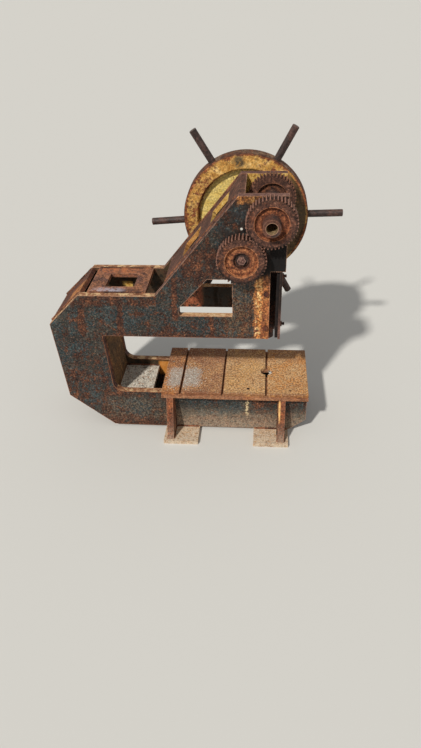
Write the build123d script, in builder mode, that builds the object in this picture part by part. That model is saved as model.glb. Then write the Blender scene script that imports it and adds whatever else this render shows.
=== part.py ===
"""Manual stamping press: a welded C-frame with a geared eccentric drive, in millimetres.

X runs along the arms with the throat on the left, Y from the gears to the wheel, Z up.
The origin is on the floor under the ram's axis, midway between the side plates.
"""

from build123d import *
from math import acos, atan2, cos, degrees, hypot, pi, radians, sin, tan
import os

os.makedirs("parts", exist_ok=True)

# Side plates and the cross plates between them
plate_t = 25.0
inner_gap = 190.0
cross_t = 15.0

# Outline of the side plates: the long edges
foot_t = 15.0
arm_top = 178.0
throat_top = 425.0
spine_top = 469.0
shoulder_top = 584.0
head_top = 923.0
heel_top = 153.0
toe_top = 64.0
lobe_bottom = 678.0
x_spine_top = -765.5
x_spine_low = -748.0
x_heel = -589.0
x_shoulder_left = -646.0
x_incline_low = -383.0
x_incline_high = -101.0
x_lobe = 50.0
x_head = 1.0
x_throat_high = -583.0
x_throat_low = -569.5
x_arm_end = 151.0
x_toe = 89.5
throat_low_r = 40.0
throat_high_r = 8.0

# Window in the upper arm
window_right = -122.0
window_left = -303.0
window_low = 511.0
window_high = 649.0
window_slant_z = 541.0
window_slant_x = -204.0
window_corner_r = 4.0

# Plates on the upper arm and along the incline, measured along the edge from its low end
top_plate_left = -621.0
top_plate_right = -419.0
hatch_left = -567.0
hatch_right = -465.0
hatch_depth = 100.0
hatch_corner_r = 3.0
incline_start = 53.0
incline_hatches = [(147.0, 233.0), (297.0, 384.0)]
floor_left = -590.0
floor_right = -435.0
floor_top = 150.0

# Table
table_left = -387.5
table_right = 153.5
table_depth = 304.0
base_t = 10.0
strip_t = 12.0
slot_w = 8.0
slot_x = [-317.5, -161.0, 0.0]
undercut_w = 5.0
undercut_h = 5.0
slug_r = 23.0
strip_hole_r = 6.0
strip_hole_x = -66.5
strip_hole_y = -112.5
strip_edge = 1.5
strip_corner_r = 3.0
strip_setback = 8.0

# Feet
foot_w = 130.0
foot_depth = 416.0
foot_left_x = -318.0
foot_right_x = 21.0
gusset_t = 24.0
gusset_left_x = -357.0
gusset_right_x = 59.0
gusset_toe = 8.0
gusset_lip = 2.0

# Ram, its guides and tool holder
ram_w = 44.0
ram_depth = 80.0
ram_bottom = 415.0
slide_gap = 0.3
guide_web_t = 20.0
guide_web_top = 650.0
gib_t = 9.4
gib_depth = 220.0
end_plate_t = 8.0
guide_bolt_x = -11.0
guide_bolt_z = [470.0, 600.0]
guide_bolt_r = 6.0
guide_bolt_head_r = 9.5
guide_bolt_head_h = 7.0
guide_bolt_grip = 30.0
gib_screw_r = 5.0
gib_screw_y = -70.0
gib_screw_z = [458.0, 640.0]
gib_screw_out = 9.0
gib_nut_af = 16.0
gib_nut_h = 6.0
holder_r = 20.0
holder_len = 50.0
shank_r = 12.5
shank_depth = 38.0
spigot_r = 10.0
spigot_len = 20.0
clamp_screw_r = 4.0
clamp_screw_out = 10.0
clamp_head_af = 10.0
clamp_head_h = 7.0

# Gears, all alike
module = 3.5
teeth = 43
pressure_deg = 20.0
backlash = 0.35
gear_w = 40.0
recess_r = 52.0
recess_depth = 10.0
gear_front_y = -170.0
gear_back_y = 45.0

# Shafts: the upper one stands over the ram, the lower one lies down to the left
upper_z = 854.0
shaft_offset_x = 90.0
lower_r = 20.0
upper_r = 27.0
upper_bore_r = 17.5
upper_bore_depth = 60.0
upper_front_out = 32.0
run_gap = 0.05
fit_gap = 0.02
end_gap = 0.3
bush_wall = 7.0
bush_flange = 8.0
key_w = 8.0
key_h = 7.0
key_in_shaft = 4.0
key_top_gap = 0.2

# Eccentric pin and the ram's window, which leaves room for the pin's true path
throw = 10.0
pin_r = 16.0
pin_side_gap = 1.0
pin_path_share = 0.2105
yoke_t = 50.0
yoke_side = 12.0
yoke_bottom = 24.0
yoke_corner_r = 6.0
yoke_shoulder = 40.0
cap_t = 9.0
cap_corner_r = 4.0
cap_bolt_r = 3.5
cap_bolt_len = 24.0
cap_bolt_play = 2.0
cap_bolt_af = 10.0
cap_bolt_head_h = 5.0

# End bolts and washers on the lower shaft, collar on the upper one
pocket_r = 26.0
pocket_depth = 12.0
end_washer_r = 22.0
end_washer_t = 4.0
end_bolt_r = 8.0
end_bolt_len = 30.0
end_bolt_af = 24.0
end_bolt_head_h = 9.0
end_bolt_play = 2.0
collar_r = 38.0
collar_w = 18.0
upper_back_out = 6.0
collar_screw_r = 4.0

# Wheel and its handles
wheel_r = 222.0
rim_inner_r = 171.0
rim_w = 60.0
wheel_front_y = 200.0
web_recess = 22.0
web_t = 12.0
hub_r = 42.0
hub_front = 10.0
hub_back = 4.0
rim_edge = 3.0
spacer_r = 30.0
handle_angles_deg = [1.5, 61.5, 121.5, 184.0, 241.5, 299.0]
handle_r = 12.5
handle_tip_r = 345.0
handle_seat = 37.0
handle_y = 226.0
handle_edge = 1.5

# Worked out from the sizes above
half_gap = inner_gap / 2
half_frame = half_gap + plate_t
pitch_r = module * teeth / 2
tip_r = pitch_r + module
root_r = pitch_r - 1.25 * module
centres = 2 * pitch_r
lower_x = -shaft_offset_x
lower_z = upper_z - (centres**2 - shaft_offset_x**2) ** 0.5
mesh_angle = atan2(upper_z - lower_z, -lower_x)
table_z = arm_top + base_t + strip_t
ram_half = ram_w / 2
gib_x = ram_half + slide_gap
end_plate_x = gib_x + gib_t + slide_gap
wheel_back_y = wheel_front_y + rim_w
hub_back_y = wheel_back_y + hub_back
hub_front_y = wheel_front_y - hub_front
bush_flange_t = -half_frame - gear_front_y - gear_w - end_gap
guide_bottom = throat_top
pin_z = upper_z - throw
pin_end_y = yoke_t / 2 + end_gap
slot_half_h = pin_r + pin_path_share * throw + slide_gap
slot_half_w = pin_r + throw + pin_side_gap
slot_top = pin_z + slot_half_h
yoke_low = pin_z - slot_half_h - yoke_bottom
yoke_half = slot_half_w + yoke_side


def front_facing(y):
    """The plane across the shafts at depth y; extruding from it goes towards the front."""
    return Plane.XZ.offset(-y)


def save(part, name):
    """Labels a finished piece and writes it to its own file."""
    part.label = name
    export_step(part, f"parts/{name}.step")


def along(p, q, distance):
    """The point at a distance from p on the way to q."""
    length = hypot(q[0] - p[0], q[1] - p[1])
    return (p[0] + (q[0] - p[0]) * distance / length, p[1] + (q[1] - p[1]) * distance / length)


def mitre(before, corner, after):
    """How far a cross plate ends before a corner so that it just meets the next one."""
    a = (before[0] - corner[0], before[1] - corner[1])
    b = (after[0] - corner[0], after[1] - corner[1])
    turn = acos((a[0] * b[0] + a[1] * b[1]) / (hypot(*a) * hypot(*b)))
    return cross_t / tan(turn / 2)


def edge_length(p, q):
    """Length of one straight edge of the frame."""
    return hypot(q[0] - p[0], q[1] - p[1])


def edge_plate(p, q, start, end, level_end=False):
    """A cross plate flush with the frame's edge from p to q, its far end cut square or level."""
    a = along(p, q, start)
    b = along(p, q, end)
    length = edge_length(p, q)
    inward = ((q[1] - p[1]) / length * cross_t, -(q[0] - p[0]) / length * cross_t)
    b_inner = (b[0] + inward[0], b[1] + inward[1])
    if level_end:
        b_inner = (b[0] + cross_t * length / (q[1] - p[1]), b[1])
    with BuildPart() as plate:
        with BuildSketch(front_facing(half_gap)):
            with BuildLine():
                Polyline(a, b, b_inner, (a[0] + inward[0], a[1] + inward[1]), close=True)
            make_face()
        extrude(amount=inner_gap)
    return plate.part


# Corners of the side plates, from the heel round the outside to the toe
heel = (x_heel, foot_t)
spine_low = (x_spine_low, heel_top)
spine_high = (x_spine_top, spine_top)
shoulder_left = (x_shoulder_left, shoulder_top)
incline_low = (x_incline_low, shoulder_top)
incline_high = (x_incline_high, head_top)
throat_high = (x_throat_high, throat_top)
throat_low = (x_throat_low, arm_top)
outline = [
    heel,
    spine_low,
    spine_high,
    shoulder_left,
    incline_low,
    incline_high,
    (x_lobe, head_top),
    (x_lobe, lobe_bottom),
    (x_head, lobe_bottom),
    (x_head, throat_top),
    throat_high,
    throat_low,
    (x_arm_end, arm_top),
    (x_arm_end, toe_top),
    (x_toe, foot_t),
]
window = [
    (window_left, window_low),
    (window_right, window_low),
    (window_right, window_high),
    (window_slant_x, window_high),
    (window_left, window_slant_z),
]


def side_plate(y_back):
    """One C-shaped plate with its window, bush seats and bolt holes."""
    with BuildPart() as plate:
        with BuildSketch(front_facing(y_back)) as profile:
            with BuildLine():
                Polyline(*outline, close=True)
            make_face()
            corners = profile.vertices()
            fillet(corners.sort_by_distance(throat_low)[0:1], throat_low_r)
            fillet(profile.vertices().sort_by_distance(throat_high)[0:1], throat_high_r)
        extrude(amount=plate_t)
        with BuildSketch(front_facing(y_back)) as opening:
            with BuildLine():
                Polyline(*window, close=True)
            make_face()
            fillet(opening.vertices(), window_corner_r)
        extrude(amount=plate_t, mode=Mode.SUBTRACT)
        with BuildSketch(front_facing(y_back)):
            with Locations((lower_x, lower_z)):
                Circle(lower_r + run_gap + bush_wall)
            with Locations((0, upper_z)):
                Circle(upper_r + run_gap + bush_wall)
            with Locations(*[(guide_bolt_x, z) for z in guide_bolt_z]):
                Circle(guide_bolt_r + fit_gap)
        extrude(amount=plate_t, mode=Mode.SUBTRACT)
    return plate.part


save(side_plate(-half_gap), "side_plate_front")
save(side_plate(half_frame), "side_plate_back")

# Cross plates round the outside of the frame
spine_trim = mitre(spine_low, spine_high, shoulder_left)
heel_trim = mitre(heel, spine_low, spine_high)
spine_len = edge_length(spine_low, spine_high)
heel_len = edge_length(heel, spine_low)
chamfer_len = edge_length(spine_high, shoulder_left)
save(edge_plate(spine_low, spine_high, heel_trim, spine_len - spine_trim), "spine_plate")
save(edge_plate(heel, spine_low, cross_t, heel_len - heel_trim), "heel_plate")
save(edge_plate(spine_high, shoulder_left, spine_trim, chamfer_len), "chamfer_plate")

# The plate down the incline has two hatches, as wide as the one in the top plate
incline_len = edge_length(incline_low, incline_high)
incline_solid = edge_plate(incline_low, incline_high, incline_start, incline_len, level_end=True)
incline_rise = (head_top - shoulder_top) / incline_len
incline_run = (x_incline_high - x_incline_low) / incline_len
incline_plane = Plane(
    origin=(x_incline_low, 0, shoulder_top),
    x_dir=(incline_run, 0, incline_rise),
    z_dir=(-incline_rise, 0, incline_run),
)
with BuildPart() as incline_plate:
    add(incline_solid)
    with BuildSketch(incline_plane):
        for start, end in incline_hatches:
            with Locations(((start + end) / 2, 0)):
                RectangleRounded(end - start, hatch_depth, hatch_corner_r)
    extrude(amount=-cross_t, mode=Mode.SUBTRACT)
save(incline_plate.part, "incline_plate")

with BuildPart() as top_plate:
    with BuildSketch(Plane.XY.offset(shoulder_top - cross_t)) as hatch:
        with Locations(((top_plate_left + top_plate_right) / 2, 0)):
            Rectangle(top_plate_right - top_plate_left, inner_gap)
        with Locations(((hatch_left + hatch_right) / 2, 0)):
            RectangleRounded(hatch_right - hatch_left, hatch_depth, hatch_corner_r, mode=Mode.SUBTRACT)
    extrude(amount=cross_t)
save(top_plate.part, "top_plate")

# The throat's inner face leans a little and stands on the floor of the lower arm
throat_slope = (x_throat_low - x_throat_high) / (arm_top - throat_top)
x_throat_foot = x_throat_high + throat_slope * (floor_top - throat_top)
with BuildPart() as throat_plate:
    with BuildSketch(front_facing(half_gap)):
        with BuildLine():
            Polyline(
                throat_high,
                (x_throat_foot, floor_top),
                (x_throat_foot - cross_t, floor_top),
                (x_throat_high - cross_t, throat_top),
                close=True,
            )
        make_face()
    extrude(amount=inner_gap)
save(throat_plate.part, "throat_plate")

with BuildPart() as arm_floor_plate:
    with BuildSketch(Plane.XY.offset(floor_top - cross_t)):
        with Locations(((floor_left + floor_right) / 2, 0)):
            Rectangle(floor_right - floor_left, inner_gap)
    extrude(amount=cross_t)
save(arm_floor_plate.part, "arm_floor_plate")

# Table: a base plate and four strips, whose undercut edges leave three T-shaped slots
with BuildPart() as table_base:
    with BuildSketch(Plane.XY.offset(arm_top)):
        with Locations(((table_left + table_right) / 2, 0)):
            Rectangle(table_right - table_left, table_depth)
        Circle(slug_r, mode=Mode.SUBTRACT)
    extrude(amount=base_t)
save(table_base.part, "table_base")

strip_low = arm_top + base_t
strip_len = table_depth - strip_setback
for number in range(len(slot_x) + 1):
    left = slot_x[number - 1] + slot_w / 2 if number > 0 else table_left
    right = slot_x[number] - slot_w / 2 if number < len(slot_x) else table_right
    left_cut = undercut_w if number > 0 else 0
    right_cut = undercut_w if number < len(slot_x) else 0
    with BuildPart() as strip:
        with BuildSketch(Plane.XY.offset(strip_low)):
            with Locations(((left + left_cut + right - right_cut) / 2, strip_setback / 2)):
                RectangleRounded(right - right_cut - left - left_cut, strip_len, strip_corner_r)
        extrude(amount=undercut_h)
        with BuildSketch(Plane.XY.offset(strip_low + undercut_h)):
            with Locations(((left + right) / 2, strip_setback / 2)):
                RectangleRounded(right - left, strip_len, strip_corner_r)
        extrude(amount=strip_t - undercut_h)
        chamfer(strip.faces().sort_by(Axis.Z)[-1].edges(), strip_edge)
        with BuildSketch(Plane.XY.offset(strip_low)):
            Circle(slug_r)
            with Locations((strip_hole_x, strip_hole_y)):
                Circle(strip_hole_r)
        extrude(amount=strip_t, mode=Mode.SUBTRACT)
    save(strip.part, f"table_strip_{number + 1}")

# Feet under both side plates, with gussets in front and behind
for side, x in (("left", foot_left_x), ("right", foot_right_x)):
    with BuildPart() as foot:
        with BuildSketch(Plane.XY):
            with Locations((x, 0)):
                Rectangle(foot_w, foot_depth)
        extrude(amount=foot_t)
    save(foot.part, f"foot_{side}")

for side, x in (("left", gusset_left_x), ("right", gusset_right_x)):
    for end, sign in (("front", -1), ("back", 1)):
        with BuildPart() as gusset:
            with BuildSketch(Plane.YZ.offset(x - gusset_t / 2)):
                with BuildLine():
                    Polyline(
                        (sign * half_frame, foot_t),
                        (sign * (foot_depth / 2 - gusset_toe), foot_t),
                        (sign * (table_depth / 2 - gusset_lip), arm_top),
                        (sign * half_frame, arm_top),
                        close=True,
                    )
                make_face()
            extrude(amount=gusset_t)
        save(gusset.part, f"gusset_{side}_{end}")

# Guides of the ram: web on the left, keepers in front and behind, gib and end plate on the right
guide_h = lobe_bottom - guide_bottom
with BuildPart() as guide_web:
    with BuildSketch(Plane.XY.offset(guide_bottom)):
        with Locations((-ram_half - slide_gap - guide_web_t / 2, 0)):
            Rectangle(guide_web_t, inner_gap)
    extrude(amount=guide_web_top - guide_bottom)
save(guide_web.part, "guide_web")

keeper_left = -ram_half - slide_gap
keeper_y = ram_depth / 2 + slide_gap
for end, sign in (("front", -1), ("back", 1)):
    with BuildPart() as keeper:
        with BuildSketch(Plane.XY.offset(guide_bottom)):
            with Locations(((keeper_left + x_head) / 2, sign * (keeper_y + half_gap) / 2)):
                Rectangle(x_head - keeper_left, half_gap - keeper_y)
        extrude(amount=guide_h)
        with BuildSketch(front_facing(-half_gap + guide_bolt_grip if sign < 0 else half_gap)):
            with Locations(*[(guide_bolt_x, z) for z in guide_bolt_z]):
                Circle(guide_bolt_r + fit_gap)
        extrude(amount=guide_bolt_grip, mode=Mode.SUBTRACT)
    save(keeper.part, f"keeper_{end}")

with BuildPart() as guide_bolts:
    with BuildSketch(front_facing(-half_gap + guide_bolt_grip)):
        with Locations(*[(guide_bolt_x, z) for z in guide_bolt_z]):
            Circle(guide_bolt_r)
    extrude(amount=guide_bolt_grip + plate_t)
    with BuildSketch(front_facing(-half_frame)):
        with Locations(*[(guide_bolt_x, z) for z in guide_bolt_z]):
            RegularPolygon(guide_bolt_head_r, 6)
    extrude(amount=guide_bolt_head_h)
    mirror(about=Plane.XZ)
save(guide_bolts.part, "guide_bolts")

with BuildPart() as gib:
    with BuildSketch(Plane.XY.offset(guide_bottom)):
        with Locations((gib_x + gib_t / 2, 0)):
            Rectangle(gib_t, gib_depth)
    extrude(amount=guide_h)
save(gib.part, "gib")

with BuildPart() as head_end_plate:
    with BuildSketch(Plane.XY.offset(guide_bottom)):
        with Locations((end_plate_x + end_plate_t / 2, 0)):
            Rectangle(end_plate_t, 2 * half_frame)
    extrude(amount=guide_h)
    with BuildSketch(Plane.YZ.offset(end_plate_x)):
        with Locations(*[(gib_screw_y, z) for z in gib_screw_z]):
            Circle(gib_screw_r + fit_gap)
    extrude(amount=end_plate_t, mode=Mode.SUBTRACT)
save(head_end_plate.part, "head_end_plate")

with BuildPart() as gib_screws:
    with BuildSketch(Plane.YZ.offset(gib_x + gib_t)):
        with Locations(*[(gib_screw_y, z) for z in gib_screw_z]):
            Circle(gib_screw_r)
    extrude(amount=slide_gap + end_plate_t + gib_nut_h + gib_screw_out)
    with BuildSketch(Plane.YZ.offset(end_plate_x + end_plate_t)):
        with Locations(*[(gib_screw_y, z) for z in gib_screw_z]):
            RegularPolygon(gib_nut_af / 2, 6, major_radius=False)
    extrude(amount=gib_nut_h)
save(gib_screws.part, "gib_screws")


def bush(x, z, shaft_r, sign):
    """A flanged bush: the flange outside the frame, the sleeve through the plate and a little inside."""
    bore = shaft_r + run_gap
    inside = half_gap - gear_back_y - gear_w - end_gap
    y_inner = half_gap - inside
    y_outer = half_frame + bush_flange_t
    with BuildPart() as sleeve:
        with BuildSketch(front_facing(-y_inner if sign < 0 else y_outer)):
            with Locations((x, z)):
                Circle(bore + bush_wall)
                Circle(bore, mode=Mode.SUBTRACT)
        extrude(amount=y_outer - y_inner)
        with BuildSketch(front_facing(-half_frame if sign < 0 else y_outer)):
            with Locations((x, z)):
                Circle(bore + bush_wall + bush_flange)
                Circle(bore, mode=Mode.SUBTRACT)
        extrude(amount=bush_flange_t)
    return sleeve.part


for end, sign in (("front", -1), ("back", 1)):
    save(bush(lower_x, lower_z, lower_r, sign), f"bush_lower_{end}")
    save(bush(0, upper_z, upper_r, sign), f"bush_upper_{end}")


def tooth_half_angle(radius):
    """Half the angle that a tooth takes up at a radius, on involute flanks."""
    pressure = radians(pressure_deg)
    local = acos(pitch_r * cos(pressure) / radius)
    thickness = pi * module / 2 - backlash
    return thickness / 2 / pitch_r + tan(pressure) - pressure - tan(local) + local


def gear_points(x, z, first_tooth):
    """The gear's outline round (x, z), with the middle of a tooth at an angle."""
    points = []
    for number in range(teeth):
        middle = first_tooth + 2 * pi * number / teeth
        flank = [(r, tooth_half_angle(r)) for r in (root_r, pitch_r, tip_r)]
        for r, half in flank:
            points.append((x + r * cos(middle - half), z + r * sin(middle - half)))
        for r, half in reversed(flank):
            points.append((x + r * cos(middle + half), z + r * sin(middle + half)))
    return points


def gear(x, z, y_front, first_tooth, shaft_r, pocket):
    """A spur gear with a round recess in its front, a keyed bore and, if asked, a pocket for a bolt."""
    with BuildPart() as wheel_gear:
        with BuildSketch(front_facing(y_front + gear_w)):
            with BuildLine():
                Polyline(*gear_points(x, z, first_tooth), close=True)
            make_face()
            with Locations((x, z)):
                Circle(shaft_r + fit_gap, mode=Mode.SUBTRACT)
            with Locations((x, z + shaft_r - key_in_shaft + (key_h + key_top_gap) / 2)):
                Rectangle(key_w, key_h + key_top_gap, mode=Mode.SUBTRACT)
        extrude(amount=gear_w)
        with BuildSketch(front_facing(y_front + recess_depth)):
            with Locations((x, z)):
                Circle(recess_r)
        extrude(amount=recess_depth, mode=Mode.SUBTRACT)
        if pocket:
            with BuildSketch(front_facing(y_front + recess_depth + pocket_depth)):
                with Locations((x, z)):
                    Circle(pocket_r)
            extrude(amount=pocket_depth, mode=Mode.SUBTRACT)
    return wheel_gear.part


half_tooth = pi / teeth
upper_tooth = mesh_angle + pi + half_tooth
save(gear(lower_x, lower_z, gear_front_y, mesh_angle, lower_r, True), "gear_lower_front")
save(gear(lower_x, lower_z, gear_back_y, mesh_angle, lower_r, False), "gear_lower_back")
save(gear(0, upper_z, gear_front_y, upper_tooth, upper_r, False), "gear_upper_front")
save(gear(0, upper_z, gear_back_y, upper_tooth, upper_r, False), "gear_upper_back")

# Keys: each runs from its hub's one face to the other and sits in a slot in the shaft
shaft_front_y = gear_front_y + recess_depth + pocket_depth
key_front_y = shaft_front_y
lower_key_spans = [
    (key_front_y, gear_front_y + gear_w),
    (gear_back_y, gear_back_y + gear_w),
    (hub_front_y, hub_back_y),
]
upper_key_spans = [
    (gear_front_y + recess_depth, gear_front_y + gear_w),
    (gear_back_y, gear_back_y + gear_w),
]


def keys(x, z, shaft_r, spans):
    """The keys of one shaft."""
    with BuildPart() as key_set:
        for y0, y1 in spans:
            with BuildSketch(front_facing(y1)):
                with Locations((x, z + shaft_r - key_in_shaft + key_h / 2)):
                    Rectangle(key_w, key_h)
            extrude(amount=y1 - y0)
    return key_set.part


save(keys(lower_x, lower_z, lower_r, lower_key_spans), "lower_keys")
save(keys(0, upper_z, upper_r, upper_key_spans), "upper_keys")

# Lower shaft, with a threaded hole for a bolt in each end
with BuildPart() as lower_shaft:
    with BuildSketch(front_facing(hub_back_y)):
        with Locations((lower_x, lower_z)):
            Circle(lower_r)
    extrude(amount=hub_back_y - shaft_front_y)
    for y0, y1 in lower_key_spans:
        with BuildSketch(front_facing(y1)):
            with Locations((lower_x, lower_z + lower_r)):
                Rectangle(key_w, 2 * key_in_shaft)
        extrude(amount=y1 - y0, mode=Mode.SUBTRACT)
    with BuildSketch(front_facing(shaft_front_y + end_bolt_len)):
        with Locations((lower_x, lower_z)):
            Circle(end_bolt_r + fit_gap)
    extrude(amount=end_bolt_len, mode=Mode.SUBTRACT)
    with BuildSketch(front_facing(hub_back_y)):
        with Locations((lower_x, lower_z)):
            Circle(end_bolt_r + fit_gap)
    extrude(amount=end_bolt_len, mode=Mode.SUBTRACT)
save(lower_shaft.part, "lower_shaft")


def end_washer(y_back):
    """The washer that holds a hub on the end of the lower shaft."""
    with BuildPart() as washer:
        with BuildSketch(front_facing(y_back)):
            with Locations((lower_x, lower_z)):
                Circle(end_washer_r)
                Circle(end_bolt_r + fit_gap, mode=Mode.SUBTRACT)
        extrude(amount=end_washer_t)
    return washer.part


def end_bolt(y_shaft, y_head):
    """The hexagon bolt in an end of the lower shaft, from its tip to the far face of its head."""
    towards_front = y_head < y_shaft
    shank = end_bolt_len - end_bolt_play + end_washer_t
    with BuildPart() as bolt:
        with BuildSketch(front_facing(y_head + shank if towards_front else y_head)):
            with Locations((lower_x, lower_z)):
                Circle(end_bolt_r)
        extrude(amount=shank)
        with BuildSketch(front_facing(y_head if towards_front else y_head + end_bolt_head_h)):
            with Locations((lower_x, lower_z)):
                RegularPolygon(end_bolt_af / 2, 6, major_radius=False)
        extrude(amount=end_bolt_head_h)
    return bolt.part


save(end_washer(shaft_front_y), "washer_front")
save(end_bolt(shaft_front_y, shaft_front_y - end_washer_t), "bolt_front")
save(end_washer(hub_back_y + end_washer_t), "washer_rear")
save(end_bolt(hub_back_y, hub_back_y + end_washer_t), "bolt_rear")

# Wheel: rim, thin web and hub cast in one, with a seat for each handle in the rim
axle = Axis((lower_x, 0, lower_z), (0, 1, 0))
wheel_plane = Plane(origin=(lower_x, 0, lower_z), x_dir=(1, 0, 0), z_dir=(0, 0, 1))
web_front_y = wheel_front_y + web_recess
handle_angles = [radians(angle) for angle in handle_angles_deg]
handle_inner_r = wheel_r - handle_seat


def handle_plane(angle):
    """The plane across a handle at its inner end, facing outwards along it."""
    direction = (cos(angle), 0, sin(angle))
    origin = (lower_x + handle_inner_r * direction[0], handle_y, lower_z + handle_inner_r * direction[2])
    return Plane(origin=origin, x_dir=(0, 1, 0), z_dir=direction)


with BuildPart() as wheel:
    with BuildSketch(wheel_plane) as section:
        with BuildLine():
            Polyline(
                (lower_r + fit_gap, hub_front_y),
                (hub_r, hub_front_y),
                (hub_r, web_front_y),
                (rim_inner_r, web_front_y),
                (rim_inner_r, wheel_front_y),
                (wheel_r, wheel_front_y),
                (wheel_r, wheel_back_y),
                (rim_inner_r, wheel_back_y),
                (rim_inner_r, web_front_y + web_t),
                (hub_r, web_front_y + web_t),
                (hub_r, hub_back_y),
                (lower_r + fit_gap, hub_back_y),
                close=True,
            )
        make_face()
        rim_corners = section.vertices().filter_by(lambda v: abs(v.X - lower_x) > wheel_r - fit_gap)
        chamfer(rim_corners, rim_edge)
    revolve(axis=axle, revolution_arc=360)
    with BuildSketch(front_facing(hub_back_y)):
        with Locations((lower_x, lower_z + lower_r - key_in_shaft + (key_h + key_top_gap) / 2)):
            Rectangle(key_w, key_h + key_top_gap)
    extrude(amount=hub_back_y - hub_front_y, mode=Mode.SUBTRACT)
    for angle in handle_angles:
        with BuildSketch(handle_plane(angle)):
            Circle(handle_r + fit_gap)
        extrude(amount=handle_seat + rim_edge, mode=Mode.SUBTRACT)
save(wheel.part, "wheel")

for number, angle in enumerate(handle_angles, start=1):
    with BuildPart() as handle:
        with BuildSketch(handle_plane(angle)):
            Circle(handle_r)
        extrude(amount=handle_tip_r - handle_inner_r)
        tip = handle.faces().sort_by_distance((lower_x, handle_y, lower_z))[-1]
        chamfer(tip.edges(), handle_edge)
    save(handle.part, f"handle_{number}")

with BuildPart() as wheel_spacer:
    with BuildSketch(front_facing(hub_front_y)):
        with Locations((lower_x, lower_z)):
            Circle(spacer_r)
            Circle(lower_r + fit_gap, mode=Mode.SUBTRACT)
    extrude(amount=hub_front_y - half_frame - bush_flange_t - end_gap)
save(wheel_spacer.part, "wheel_spacer")

# Upper shaft: it stands out in front, where it is bored, and has the eccentric pin in its middle
collar_front_y = half_frame + bush_flange_t + end_gap
upper_back_y = collar_front_y + collar_w + upper_back_out
upper_front_y = gear_front_y - upper_front_out
with BuildPart() as upper_shaft:
    for y0, y1 in ((upper_front_y, -pin_end_y), (pin_end_y, upper_back_y)):
        with BuildSketch(front_facing(y1)):
            with Locations((0, upper_z)):
                Circle(upper_r)
        extrude(amount=y1 - y0)
    with BuildSketch(front_facing(pin_end_y)):
        with Locations((0, pin_z)):
            Circle(pin_r)
    extrude(amount=2 * pin_end_y)
    with BuildSketch(front_facing(upper_front_y + upper_bore_depth)):
        with Locations((0, upper_z)):
            Circle(upper_bore_r)
    extrude(amount=upper_bore_depth, mode=Mode.SUBTRACT)
    for y0, y1 in upper_key_spans:
        with BuildSketch(front_facing(y1)):
            with Locations((0, upper_z + upper_r)):
                Rectangle(key_w, 2 * key_in_shaft)
        extrude(amount=y1 - y0, mode=Mode.SUBTRACT)
save(upper_shaft.part, "upper_shaft")

screw_z = upper_z + upper_r
screw_y = collar_front_y + collar_w / 2
with BuildPart() as collar:
    with BuildSketch(front_facing(collar_front_y + collar_w)):
        with Locations((0, upper_z)):
            Circle(collar_r)
            Circle(upper_r + fit_gap, mode=Mode.SUBTRACT)
    extrude(amount=collar_w)
    with BuildSketch(Plane.XY.offset(screw_z)):
        with Locations((0, screw_y)):
            Circle(collar_screw_r + fit_gap)
    extrude(amount=collar_r - upper_r + 1, mode=Mode.SUBTRACT)
save(collar.part, "collar")

with BuildPart() as collar_screw:
    with BuildSketch(Plane.XY.offset(screw_z)):
        with Locations((0, screw_y)):
            Circle(collar_screw_r)
    extrude(amount=collar_r - upper_r)
save(collar_screw.part, "collar_screw")

# Ram: a bar with a broad head, open at its top for the pin; at rest it is at its lowest
cap_bolt_x = slot_half_w + yoke_side / 2
with BuildPart() as ram:
    with BuildSketch(Plane.XY.offset(ram_bottom)):
        Rectangle(ram_w, ram_depth)
    extrude(amount=yoke_low - ram_bottom)
    with BuildSketch(front_facing(yoke_t / 2)):
        with BuildLine():
            Polyline(
                (ram_half, yoke_low - yoke_shoulder),
                (yoke_half, yoke_low),
                (yoke_half, slot_top),
                (-yoke_half, slot_top),
                (-yoke_half, yoke_low),
                (-ram_half, yoke_low - yoke_shoulder),
                close=True,
            )
        make_face()
        with Locations((0, pin_z)):
            RectangleRounded(2 * slot_half_w, 2 * slot_half_h, yoke_corner_r, mode=Mode.SUBTRACT)
        with Locations((0, slot_top)):
            Rectangle(2 * slot_half_w, 2 * yoke_corner_r, mode=Mode.SUBTRACT)
    extrude(amount=yoke_t)
    with BuildSketch(Plane.XY.offset(slot_top - cap_bolt_len)):
        with Locations((-cap_bolt_x, 0), (cap_bolt_x, 0)):
            Circle(cap_bolt_r + fit_gap)
    extrude(amount=cap_bolt_len, mode=Mode.SUBTRACT)
    with BuildSketch(Plane.XY.offset(ram_bottom)):
        Circle(spigot_r + fit_gap)
    extrude(amount=spigot_len, mode=Mode.SUBTRACT)
save(ram.part, "ram")

# Cap that closes the ram's window over the pin, with its two bolts
with BuildPart() as ram_cap:
    with BuildSketch(front_facing(yoke_t / 2)) as cap_end:
        with Locations((0, slot_top + cap_t / 2)):
            Rectangle(2 * yoke_half, cap_t)
        fillet(cap_end.vertices().group_by(Axis.Z)[-1], cap_corner_r)
    extrude(amount=yoke_t)
    with BuildSketch(Plane.XY.offset(slot_top)):
        with Locations((-cap_bolt_x, 0), (cap_bolt_x, 0)):
            Circle(cap_bolt_r + fit_gap)
    extrude(amount=cap_t, mode=Mode.SUBTRACT)
save(ram_cap.part, "ram_cap")

with BuildPart() as cap_bolts:
    with BuildSketch(Plane.XY.offset(slot_top - cap_bolt_len + cap_bolt_play)):
        with Locations((-cap_bolt_x, 0), (cap_bolt_x, 0)):
            Circle(cap_bolt_r)
    extrude(amount=cap_bolt_len - cap_bolt_play + cap_t)
    with BuildSketch(Plane.XY.offset(slot_top + cap_t)):
        with Locations((-cap_bolt_x, 0), (cap_bolt_x, 0)):
            RegularPolygon(cap_bolt_af / 2, 6, major_radius=False)
    extrude(amount=cap_bolt_head_h)
save(cap_bolts.part, "cap_bolts")

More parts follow.
